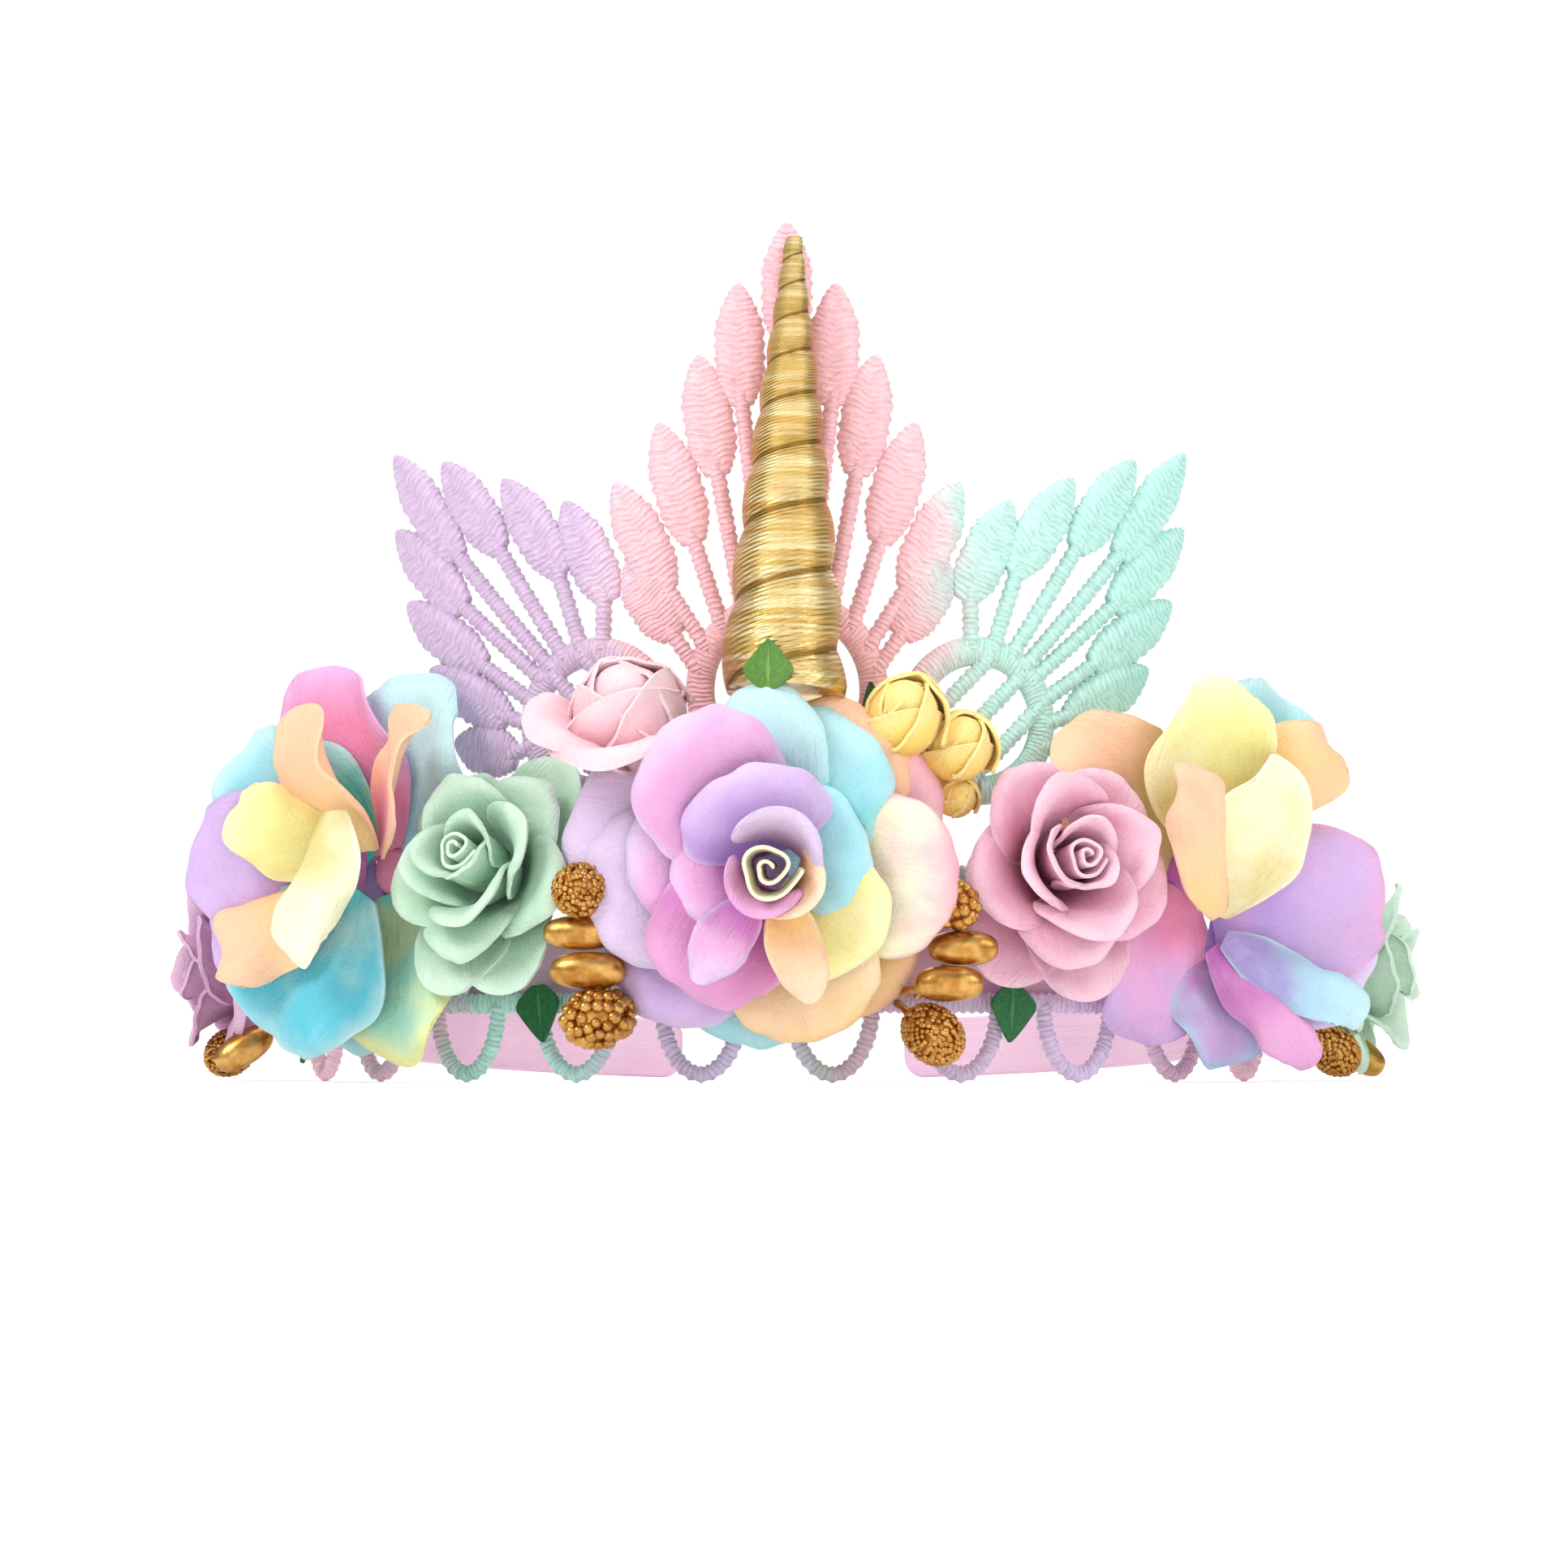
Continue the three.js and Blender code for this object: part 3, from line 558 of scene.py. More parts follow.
bend_along(head_cord, [(u, 0, head_cord_v(u)) for u in range(-CORD_HALF_LENGTH, CORD_HALF_LENGTH + 1)])
lace_pieces.append(head_cord)
lace = join_pieces("lace_fans", lace_pieces)
lace.location.x = LACE_SPAN * MM
lace.scale = (MM, MM, MM)
settle(lace)
bend_along(lace, [on_lace(u, 0, 0) for u in range(-LACE_SPAN, LACE_SPAN + 1)])
bpy.ops.object.shade_smooth()
lace.data.materials.append(lace_finish())
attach(lace, "root")
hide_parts("lace_crown")

# Horn: a light cone wound round and round with cord and thread and sprayed metallic gold.
# The cord leaves a deep spiral groove, and the thread fine rings. It is glued against the lace.
HORN_LENGTH = 63.5 * MM
HORN_FOOT = 8.8 * MM
HORN_TIP = 1.25 * MM
HORN_RIDGE = 0.16
HORN_BELLY = 0.07
HORN_ROUNDNESS = 0.7
HORN_TURNS = 9
HORN_START = 0.23
HORN_GROWTH = 1.16
HORN_SIDES = 72
HORN_ROWS = 330
HORN_THREADS = 16
HORN_RINGS = (40, 40, 1600)
HORN_FLECKS = 900.0
HORN_RELIEF = 0.22 * MM
HORN_FOOT_U = -1.6
HORN_FOOT_V = 53
HORN_LEAN = math.radians(1.4)
HORN_OUT = 10.5
GOLD_LIGHT = "#eedca8"
GOLD = "#cba75c"
# Painted shade for the cord's spiral groove
GOLD_GROOVE_SHADE = "#8f6a2a"


def horn_turn(rise):
    grown = HORN_GROWTH ** HORN_TURNS - 1
    return HORN_TURNS - math.log((1 - rise) * grown + 1) / math.log(HORN_GROWTH)


def gold_finish():
    finish, tree, shader = new_finish("horn_gold", roughness=0.36, metallic=1.0)
    place = add_node(tree, "ShaderNodeTexCoord").outputs["Object"]
    wind = marked(tree, "wind", "Fac")
    swell = maths(tree, "ABSOLUTE", maths(tree, "SINE", weighed(tree, wind, math.pi)))
    threads = waves_along(tree, wind, HORN_THREADS)
    rings = stretched_grain(tree, place, HORN_RINGS)
    flecks = grain(tree, place, HORN_FLECKS)
    shades = blend_shades(tree, smooth_share(tree, rings, 0.35, 0.7), linear(GOLD), linear(GOLD_LIGHT))
    # Painted shade: the gold turns darker along the spiral groove, where shade falls between the turns
    shades = blend_shades(tree, smooth_share(tree, swell, 0.0, 0.26), linear(GOLD_GROOVE_SHADE), shades)
    tree.links.new(shades, shader.inputs["Base Color"])
    tree.links.new(weighed(tree, flecks, 0.24, 0.24), shader.inputs["Roughness"])
    height = weighed(tree, threads, 0.3, weighed(tree, flecks, 0.2, rings))
    raise_relief(tree, shader, height, HORN_RELIEF)
    return finish


start_fresh()
bpy.ops.mesh.primitive_cone_add(
    vertices=HORN_SIDES, radius1=HORN_FOOT * (1 - HORN_RIDGE), radius2=HORN_TIP * (1 - HORN_RIDGE),
    depth=HORN_LENGTH, location=(0, 0, HORN_LENGTH / 2))
horn = bpy.context.object
horn.name = "wound_horn"
settle(horn)
bpy.ops.object.mode_set(mode="EDIT")
bpy.ops.mesh.select_mode(type="EDGE")
horn_mesh = bmesh.from_edit_mesh(horn.data)
for edge in horn_mesh.edges:
    edge.select_set(abs(edge.verts[0].co.z - edge.verts[1].co.z) > HORN_LENGTH / 2)
bmesh.update_edit_mesh(horn.data)
bpy.ops.mesh.subdivide(number_cuts=HORN_ROWS)
bpy.ops.mesh.select_mode(type="VERT")
bpy.ops.object.mode_set(mode="OBJECT")
horn_winds = []
horn_raise = horn.vertex_groups.new(name="raise")
for vert in horn.data.vertices:
    rise = min(1, max(0, vert.co.z / HORN_LENGTH))
    around = math.atan2(vert.co.x, -vert.co.y) / math.tau
    wind = horn_turn(rise) - around - HORN_START
    swell = abs(math.sin(math.pi * wind)) ** HORN_ROUNDNESS
    taper = 1 + (HORN_TIP / HORN_FOOT - 1) * rise
    height = HORN_RIDGE * swell + HORN_BELLY * math.sin(math.pi * rise)
    horn_raise.add([vert.index], taper * height / (HORN_RIDGE + HORN_BELLY), "REPLACE")
    horn_winds.append(wind)
horn_layer = horn.data.attributes.new("wind", "FLOAT", "CORNER")
for face in horn.data.polygons:
    first = horn_winds[face.vertices[0]]
    for corner, number in zip(face.loop_indices, face.vertices):
        horn_layer.data[corner].value = horn_winds[number] - round(horn_winds[number] - first)
finish_with(
    horn, "DISPLACE", vertex_group="raise", mid_level=0, strength=HORN_FOOT * (HORN_RIDGE + HORN_BELLY))
horn.matrix_world = (
    Matrix.Translation(on_lace(HORN_FOOT_U, HORN_FOOT_V, HORN_OUT))
    @ Matrix.Rotation(-math.atan((HORN_FOOT - HORN_TIP) / HORN_LENGTH), 4, "X")
    @ Matrix.Rotation(HORN_LEAN, 4, "Y"))
settle(horn)
bpy.ops.object.shade_smooth_by_angle(angle=math.radians(60))
horn.data.materials.append(gold_finish())
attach(horn, "root")
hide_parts("unicorn_horn")

# Centre rose: a large rose of soft paper petals, dyed by brush in lilac, aqua, peach and yellow.
# Each petal is cut flat, cupped, curled back round a rod and glued in rings round a rolled heart.
PAPER = 0.5 * MM
PETAL_WAIST = 0.45
PETAL_NECK = 0.3
PETAL_FALL_FROM = 0.35
PETAL_CRUMPLE = 0.3
SIDE_CROWDING = 0.3
TIP_CROWDING = 0.25
WAVE_CENTRE = 0.4
WAVE_START = 0.7
HEART_FOLDS = 3
HEART_FOLD = 0.12
HEART_START = 0.6
HEART_CRIMPS = 5
HEART_CRIMP = 0.1
HEART_FLARE = 0.8
PAPER_BLOTCHES = 140.0
PAPER_DRIFT = 75.0
PAPER_MOTTLE = 420.0
PAPER_FIBRE = 2200.0
PAPER_CREASES = (26, 2.5, 1)
PAPER_RELIEF = 0.34 * MM
FOOT_EDGE = 0.6 * MM
FOOT_TAPER = 0.55
FLOWER_OFF_LACE = 1.15
# Turns of the roll, inner and outer radius, foot, top, and how far the outer end falls
CENTRE_HEART = (2, 0.35, 3.6, 14, 26.5, 1.5)
CENTRE_FOOT = (6, 8)
CENTRE_SEAT = (-2.7, 29.5, 0, -3, 6)
SOFT_RIPPLE = 6
SOFT_DEPTH = 2.2
DYES = {
    "aqua": "#a3e0e9", "pale_aqua": "#c3e7ea", "teal": "#4cc4bd", "cyan": "#5fc4d8", "sky": "#b3dbf0",
    "lilac": "#cfb1e2", "pale_lilac": "#dfcbea", "violet": "#a98cd3", "magenta": "#c973c4",
    "pink": "#e7abd8", "orchid": "#d68fbd", "rose": "#f293bb", "blush": "#f8c9d0",
    "rosy": "#f4b1c4", "peach": "#fbc9a6", "pale_peach": "#fde2c4", "orange": "#f9d28f",
    "yellow": "#f5efa2", "lemon": "#fbf6c4", "cream": "#f7f4d8", "ivory": "#efe6c8",
    "olive": "#e0d084", "leaf_aqua": "#a9e0c8",
    # The *_painted_shade tones sit at the roots of the small roses: painted shade darkening their hearts
    "mint": "#b4d8bd", "pale_mint": "#d0e8d4", "mint_painted_shade": "#7fb596",
    "dusty": "#e9abc4", "pale_dusty": "#f4cddb", "dusty_painted_shade": "#b8637f",
    "mauve": "#c58fb6", "pale_mauve": "#dbb5d0", "mauve_painted_shade": "#8f5586",
    "shell": "#efbec8", "pale_shell": "#f8d9de", "shell_painted_shade": "#c4828f",
    "sun": "#ffdc74", "pale_sun": "#ffe79a", "sun_painted_shade": "#fcc650",
}


def petal_spine(share, length, belly, fall):
    steps = 24
    place = Vector((0, 0, 0))
    for step in range(steps):
        here = share * (step + 0.5) / steps
        fallen = max(0, here - PETAL_FALL_FROM) / (1 - PETAL_FALL_FROM)
        lean = math.radians(belly * max(0, 1 - 2 * here) + fall * fallen)
        place += Vector((0, math.cos(lean), -math.sin(lean))) * (length * share / steps)
    return place, Vector((0, math.sin(lean), math.cos(lean)))


def cut_petal(length, width, cup, belly, fall, roll, rim, wave=0.0, waves=3, point=0.0, cells=12):
    start_fresh()
    bpy.ops.mesh.primitive_grid_add(x_subdivisions=cells, y_subdivisions=cells, size=2)
    petal = bpy.context.object
    edge = petal.vertex_groups.new(name="edge")
    bend = math.radians(cup) / width
    for vert in petal.data.vertices:
        side = vert.co.x * (1 + SIDE_CROWDING - SIDE_CROWDING * vert.co.x ** 2)
        rise = (vert.co.y + 1) / 2
        rise *= 1 + TIP_CROWDING - TIP_CROWDING * rise
        over = max(0, rise - PETAL_WAIST) / (1 - PETAL_WAIST)
        grip = min(1, rise / PETAL_WAIST)
        spread = (PETAL_NECK + (1 - PETAL_NECK) * math.sin(math.pi / 2 * grip)) * width / 2
        round_x = side * math.sqrt(1 - over * over / 2)
        round_y = over * math.sqrt(1 - side * side / 2)
        reach = math.hypot(round_x, round_y)
        flat = Vector((round_x * spread, round_y * length * (1 - PETAL_WAIST)))
        rolled = max(0, 1 - rim / max(reach, rim)) * flat.length * grip
        angle = rolled / roll
        if rolled:
            flat *= (flat.length - rolled + roll * math.sin(angle)) / flat.length
        swing = math.atan2(round_x, round_y + WAVE_CENTRE)
        ruffle = wave * grip * reach ** 2 * math.sin(waves * swing + WAVE_START)
        back = roll * (1 - math.cos(angle)) + ruffle
        flat.y += length * min(rise, PETAL_WAIST) + point * length * over * (1 - abs(side)) ** 2
        fold = flat.x * bend
        place, outward = petal_spine(flat.y / length, length, belly, fall)
        place.x = math.sin(fold) * (1 / bend + back)
        place += outward * ((1 - math.cos(fold)) / bend - back * math.cos(fold))
        edge.add([vert.index], grip * max(PETAL_CRUMPLE, reach ** 2), "REPLACE")
        vert.co = place * MM
    return petal


def dye_and_shade(piece, root, body, rim):
    count = len(piece.data.vertices)
    for layer_name, shade in (("root_dye_and_shade", root), ("body_dye", body), ("rim_dye", rim)):
        layer = piece.data.attributes.new(layer_name, "FLOAT_COLOR", "POINT")
        layer.data.foreach_set("color", linear(DYES[shade]) * count)


def place_petal(blank, seat, azimuth, tilt, root, lift, size, roll, dyes_and_shade):
    petal = copy_of(blank)
    petal.matrix_world = (
        seat @ Matrix.Rotation(math.radians(azimuth - 90), 4, "Z")
        @ Matrix.Translation((0, root * MM, lift * MM))
        @ Matrix.Rotation(math.radians(90 - tilt), 4, "X")
        @ Matrix.Rotation(math.radians(roll), 4, "Y") @ Matrix.Scale(size, 4))
    settle(petal)
    dye_and_shade(petal, *dyes_and_shade)
    return petal


def rolled_heart(seat, turns, inner, outer, foot, top, fall, dyes_and_shade):
    start_fresh()
    bpy.ops.mesh.primitive_grid_add(x_subdivisions=28 * turns, y_subdivisions=3, size=2)
    heart = bpy.context.object
    for vert in heart.data.vertices:
        share = (vert.co.x + 1) / 2
        rise = (vert.co.y + 1) / 2
        angle = math.tau * turns * share
        folded = 1 + HEART_FOLD * math.sin(HEART_FOLDS * angle + HEART_START)
        radius = (inner + (outer - inner) * share) * folded
        radius += (HEART_CRIMP * math.sin(HEART_CRIMPS * angle) + HEART_FLARE * rise ** 3) * share
        level = foot + (top - fall * share * share - foot) * rise
        vert.co = Vector((radius * math.cos(angle), radius * math.sin(angle), level)) * MM
    heart.matrix_world = seat
    settle(heart)
    dye_and_shade(heart, *dyes_and_shade)
    return heart


def flower_foot(seat, radius, height, dyes_and_shade):
    start_fresh()
    bpy.ops.mesh.primitive_cylinder_add(vertices=24, radius=radius * MM, depth=height * MM)
    foot = bpy.context.object
    bpy.ops.object.mode_set(mode="EDIT")
    bpy.ops.mesh.select_all(action="SELECT")
    bpy.ops.mesh.bevel(offset=FOOT_EDGE, segments=2, affect="EDGES")
    pick(lambda vert: vert.co.z > 0)
    bpy.ops.transform.resize(
        value=(FOOT_TAPER, FOOT_TAPER, 1), center_override=(0, 0, height * MM / 2))
    bpy.ops.object.mode_set(mode="OBJECT")
    foot.matrix_world = seat @ Matrix.Translation((0, 0, height * MM / 2))
    settle(foot)
    dye_and_shade(foot, *dyes_and_shade)
    return foot


def paper_finish(name):
    finish, tree, shader = new_finish(name, roughness=0.8)
    places = add_node(tree, "ShaderNodeTexCoord").outputs
    flat = add_node(tree, "ShaderNodeSeparateXYZ", None, Vector=places["UV"]).outputs
    dyes_and_shade = {layer: marked(tree, layer, "Color") for layer in ("root_dye_and_shade", "body_dye", "rim_dye")}
    bleed = weighed(tree, grain(tree, places["Object"], PAPER_BLOTCHES), 0.5, -0.25)
    along = maths(tree, "ADD", flat[1], bleed)
    across = maths(tree, "ABSOLUTE", weighed(tree, flat[0], 2.0, -1.0))
    edge = maths(tree, "MAXIMUM", along, weighed(tree, across, 0.95, bleed))
    # Towards the foot of each petal the colour turns to the root colour: partly real dye, partly painted
    # shade deep in the flower
    shades = blend_shades(tree, smooth_share(tree, along, 0.08, 0.6), dyes_and_shade["root_dye_and_shade"], dyes_and_shade["body_dye"])
    shades = blend_shades(tree, smooth_share(tree, edge, 0.62, 1.05), shades, dyes_and_shade["rim_dye"])
    drift = smooth_share(tree, grain(tree, places["Object"], PAPER_DRIFT), 0.42, 0.66)
    drift = weighed(tree, drift, 0.6)
    shades = blend_shades(tree, drift, shades, dyes_and_shade["rim_dye"])
    fibre = grain(tree, places["Object"], PAPER_FIBRE, 4.0)
    mottle = grain(tree, places["Object"], PAPER_MOTTLE)
    light = weighed(tree, fibre, 0.14, weighed(tree, mottle, 0.1, 0.88))
    shades = blend_shades(tree, 1.0, shades, light, "MULTIPLY")
    tree.links.new(shades, shader.inputs["Base Color"])
    creases = stretched_grain(tree, places["UV"], PAPER_CREASES)
    height = weighed(tree, creases, 0.9, weighed(tree, fibre, 0.5))
    raise_relief(tree, shader, height, PAPER_RELIEF)
    shader.inputs["Sheen Weight"].default_value = 0.12
    shader.inputs["Specular IOR Level"].default_value = 0.3
    return finish


def flower_seat(u, v, yaw, pitch, foot_radius):
    tilted = math.radians(math.hypot(yaw, pitch))
    place = on_lace(u, v, FLOWER_OFF_LACE + foot_radius * math.sin(tilted))
    return (
        Matrix.Translation(place) @ Matrix.Rotation(lace_yaw(u) + math.radians(yaw), 4, "Z")
        @ Matrix.Rotation(math.pi / 2 - math.radians(pitch), 4, "X"))


def ripple_texture(name, size):
    ripple = bpy.data.textures.new(name, "CLOUDS")
    ripple.noise_scale = size * MM
    ripple.noise_depth = 1
    return ripple


def make_flower(node, name, pieces, finish, ripple, depth):
    flower = join_pieces(name, pieces)
    finish_with(flower, "SUBSURF", levels=1, render_levels=1)
    finish_with(
        flower, "DISPLACE", texture=ripple, texture_coords="LOCAL", vertex_group="edge",
        strength=depth * MM)
    finish_with(flower, "SOLIDIFY", thickness=PAPER, offset=0)
    bpy.ops.object.shade_smooth_by_angle(angle=math.radians(45))
    flower.data.materials.append(finish)
    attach(flower, "root")
    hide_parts(node)


rainbow_paper = paper_finish("rainbow_paper")
soft_ripple = ripple_texture("soft_ripple", SOFT_RIPPLE)
# Length and width of the flat petal, degrees of cup, belly and fall, and the curl and waves of its rim
rose_petals = {
    "outer": cut_petal(26, 25, 30, 12, 30, roll=2.6, rim=0.66, wave=0.7, waves=2),
    "slim": cut_petal(25, 16, 30, 12, 25, roll=2.2, rim=0.68, wave=0.6, waves=2),
    "second": cut_petal(20, 21, 50, 18, 40, roll=2.2, rim=0.6, wave=0.5),
    "rolled": cut_petal(17, 24, 70, 14, 60, roll=2.2, rim=0.55),
    "collar": cut_petal(14, 17, 70, 10, 50, roll=1.5, rim=0.66, wave=0.4),
    "strip": cut_petal(16, 7.6, -60, 6, 30, roll=2.2, rim=0.8, wave=0.4),
    "lip": cut_petal(10.5, 14, 150, 8, 20, roll=1.0, rim=0.8),
}
# kind, azimuth, tilt, root, lift, size, roll, dyes at the root, on the body and along the rim; the dark
# root dyes are partly real dye and partly painted shade deep in the rose
CENTRE_PETALS = (
    ("slim", 92, 54, 3, 8, 1.02, 0, ("aqua", "pale_aqua", "pale_aqua")),
    ("outer", 57, 66, 3, 5, 0.94, 6, ("orange", "peach", "peach")),
    ("outer", 31, 75, 3, 3.5, 0.96, 6, ("peach", "blush", "rosy")),
    ("outer", 355, 62, 3, 7, 0.98, 4, ("yellow", "cream", "rosy")),
    ("outer", 311, 72, 3, 4, 0.92, 6, ("orange", "orange", "peach")),
    ("outer", 286, 64, 3, 6.5, 0.92, 4, ("pale_peach", "pale_peach", "orange")),
    ("outer", 259, 74, 3, 3.5, 0.94, 6, ("aqua", "pale_aqua", "aqua")),
    ("outer", 219, 72, 3, 4.5, 1.04, 4, ("violet", "lilac", "pale_lilac")),
    ("outer", 189, 66, 3, 6, 1.0, 5, ("magenta", "pale_lilac", "pale_lilac")),
    ("outer", 164, 74, 3, 4.5, 1.12, 6, ("lilac", "pale_lilac", "pale_lilac")),
    ("outer", 125, 53, 3, 11.5, 0.94, 8, ("pink", "pink", "pale_lilac")),
    ("second", 66, 62, 2.5, 8.5, 1.16, -4, ("teal", "aqua", "pale_aqua")),
    ("second", 170, 58, 2.5, 9.5, 1.0, 4, ("magenta", "pink", "pale_lilac")),
    ("second", 236, 54, 2.5, 12, 1.06, -4, ("magenta", "orchid", "pink")),
    ("second", 319, 52, 2.5, 10.5, 0.92, 5, ("olive", "yellow", "lemon")),
    ("rolled", 108, 32, 2, 13.5, 1.0, 0, ("violet", "lilac", "pale_lilac")),
    ("rolled", 20, 48, 2, 10.5, 0.86, -8, ("aqua", "aqua", "pale_aqua")),
    ("collar", 192, 40, 2.5, 11, 1.0, 8, ("magenta", "pink", "pale_lilac")),
    ("strip", 236, 42, 4.5, 16, 1.05, 8, ("magenta", "pink", "pale_lilac")),
    ("strip", 289, 50, 4, 15.5, 1.05, -8, ("orange", "peach", "pale_peach")),
    ("lip", 66, 14, 3.6, 15.5, 1.1, 0, ("lilac", "pale_lilac", "pale_lilac")),
    ("lip", 245, 12, 3, 15.5, 0.95, 0, ("magenta", "pink", "pink")),
    ("lip", 325, 14, 3.4, 14.5, 1.0, 0, ("orange", "peach", "pale_peach")),
)
centre_seat = flower_seat(*CENTRE_SEAT)
centre_pieces = [
    flower_foot(centre_seat, *CENTRE_FOOT, ("lilac", "lilac", "lilac")),
    rolled_heart(centre_seat, *CENTRE_HEART, ("rose", "cream", "ivory")),
]
for kind, *setting in CENTRE_PETALS:
    centre_pieces.append(place_petal(rose_petals[kind], centre_seat, *setting))
make_flower(
    "centre_rose", "rainbow_rose", centre_pieces, rainbow_paper, soft_ripple, SOFT_DEPTH)

# Side blooms: two open, loosely folded flowers of the same dyed paper, with long waved petals.
# They are glued beside the small roses and turn outwards round the band.
BLOOM_FOOT = (5.5, 5)
LOOSE_RIPPLE = 8
LOOSE_DEPTH = 3.6
loose_ripple = ripple_texture("loose_ripple", LOOSE_RIPPLE)
bloom_petals = {
    "broad": cut_petal(28, 23, 30, 14, 22, roll=3.0, rim=0.76, wave=2.0, waves=5),
    "bowl": cut_petal(26, 25, 50, 16, 30, roll=3.6, rim=0.6, wave=1.8, waves=4),
    "fold": cut_petal(26, 16, 95, 10, 28, roll=3.0, rim=0.84, wave=1.6, waves=5),
    "strip": cut_petal(28, 13, 80, 8, 22, roll=3.0, rim=0.85, wave=1.8, waves=6),
    "tongue": cut_petal(25, 19, -75, 18, 45, roll=2.6, rim=0.76, wave=2.0, waves=6),
    "apron": cut_petal(25, 14.5, -80, 16, 40, roll=2.4, rim=0.76, wave=1.6, waves=6),
    "ribbon": cut_petal(26, 11.5, -60, 10, 30, roll=2.4, rim=0.8, wave=1.6, waves=6),
    "funnel": cut_petal(25, 18, 100, 10, 20, roll=2.6, rim=0.85, wave=1.6, waves=5),
}
LEFT_PETALS = (
    ("broad", 78, 74, 3, 4, 0.94, 0, ("aqua", "pale_aqua", "pale_aqua")),
    ("fold", 102, 64, 3, 5, 1.1, 26, ("rose", "rose", "pink")),
    ("fold", 103, 48, 3, 9, 0.9, -16, ("orange", "peach", "peach")),
    ("strip", 60, 62, 3, 9, 0.9, -34, ("rose", "peach", "peach")),
    ("broad", 120, 70, 3, 4.5, 0.9, 0, ("pink", "pink", "pink")),
    ("broad", 140, 56, 3, 6.5, 0.96, 0, ("teal", "aqua", "pale_aqua")),
    ("broad", 174, 50, 3, 7, 0.98, 0, ("magenta", "lilac", "lilac")),
    ("broad", 199, 56, 3, 4, 1.0, 0, ("violet", "pink", "lilac")),
    ("broad", 20, 62, 3, 3, 0.6, 0, ("rose", "rose", "pink")),
    ("broad", 216, 68, 3, 3, 0.86, 0, ("violet", "sky", "sky")),
    ("bowl", 239, 67, 3, 10.5, 1.1, 0, ("cyan", "cyan", "pale_aqua")),
    ("broad", 284, 68, 3, 5, 0.92, 0, ("teal", "leaf_aqua", "yellow")),
    ("broad", 258, 72, 3, 3.5, 0.86, 0, ("teal", "aqua", "pale_aqua")),
    ("tongue", 211, 48, 5, 13, 0.86, 14, ("orange", "peach", "peach")),
    ("tongue", 152, 36, 4, 12, 0.74, 8, ("olive", "yellow", "lemon")),
    ("apron", 272, 52, -8, 17, 0.95, 0, ("olive", "lemon", "cream")),
)
RIGHT_PETALS = (
    ("broad", 144, 70, 3, 4, 1.0, 0, ("olive", "peach", "peach")),
    ("broad", 100, 62, 3, 9, 0.9, 0, ("olive", "yellow", "lemon")),
    ("broad", 62, 70, 3, 4.5, 1.02, 0, ("teal", "aqua", "pale_aqua")),
    ("tongue", 46, 52, 5, 9, 0.95, 10, ("orange", "orange", "peach")),
    ("broad", 246, 78, 3, 4.5, 0.84, 0, ("rose", "pink", "lilac")),
)
RIGHT_FRONT_PETALS = (
    ("broad", 12, 60, 3, 6, 1.02, 0, ("violet", "lilac", "pink")),
    ("broad", 346, 64, 3, 5, 0.96, 0, ("violet", "lilac", "pale_lilac")),
    ("broad", 284, 66, 3, 4.5, 0.66, 0, ("magenta", "lilac", "sky")),
    ("ribbon", 330, 52, 3, 9, 0.9, -14, ("violet", "sky", "pale_aqua")),
    ("ribbon", 300, 54, 3, 8, 0.86, 12, ("magenta", "pink", "pink")),
    ("funnel", 78, 56, 2, 9, 0.98, 0, ("olive", "lemon", "cream")),
    ("ribbon", 122, 56, 2, 13, 1.0, 0, ("orange", "peach", "peach")),
)
# node, name, seat, petals, how far the front petals sit below the others, front petals, foot colour (a dark
# dye painted as the shade deep in the bloom)
BLOOMS = (
    ("left_bloom", "rainbow_bloom_left", (-57.5, 29.5, 8, 0, 5.5), LEFT_PETALS, 0, (), "rose"),
    ("right_bloom", "rainbow_bloom_right", (56, 29.5, -10, 0, 5.5), RIGHT_PETALS, 8, RIGHT_FRONT_PETALS,
     "magenta"),
)
for node, name, place, petals, drop, front_petals, foot_shade_dye in BLOOMS:
    seat = flower_seat(*place)
    front_seat = seat @ Matrix.Translation((0, -drop * MM, 0))
    # The foot's dark colour is painted shade in the heart of the bloom
    pieces = [flower_foot(seat, *BLOOM_FOOT, (foot_shade_dye, foot_shade_dye, foot_shade_dye))]
    for petal_seat, rows in ((seat, petals), (front_seat, front_petals)):
        for kind, *setting in rows:
            pieces.append(place_petal(bloom_petals[kind], petal_seat, *setting))
    make_flower(node, name, pieces, rainbow_paper, loose_ripple, LOOSE_DEPTH)

# Small roses and buds: shop-made paper roses in single colours, rolled from a spiral strip.
# Pointed petals stand round the roll; two of the roses have loose petals under them.
CRISP_RIPPLE = 4
CRISP_DEPTH = 1.3
SMALL_FOOT = 4
SMALL_HEART = (2, 0.35, 2.4, 4, 17.5, 1)
BUD_CORE_RADIUS = 4.8 * MM
BUD_CORE_RISE = 9 * MM
BUD_CORE_STRETCH = 1.36
# Tilt, root, lift, size and roll of a loose petal
LOOSE_SEAT = (74, 2, 2.4, 1.0, 0)
# How the petals of a ring differ: in tilt, in size, and in roll about its mean
SWAY_STEP = 1.7
SWAY_TILT = 5
SWAY_SIZE = 0.05
MEAN_ROLL = 7
SWAY_ROLL = 6
crisp_ripple = ripple_texture("crisp_ripple", CRISP_RIPPLE)
small_petals = {
    "inner": cut_petal(11, 12, 185, 10, 12, roll=1.0, rim=0.82, point=0.08, cells=10),
    "mid": cut_petal(13, 15, 130, 22, 30, roll=1.2, rim=0.76, point=0.1, cells=10),
    "outer": cut_petal(15.5, 17, 75, 25, 55, roll=1.4, rim=0.7, point=0.06, cells=10),
    "loose": cut_petal(18, 16, 40, 0, 10, roll=3.0, rim=0.85, cells=10),
    "bud": cut_petal(14.5, 21, 170, 46, -64, roll=1.2, rim=0.9, cells=10),
}
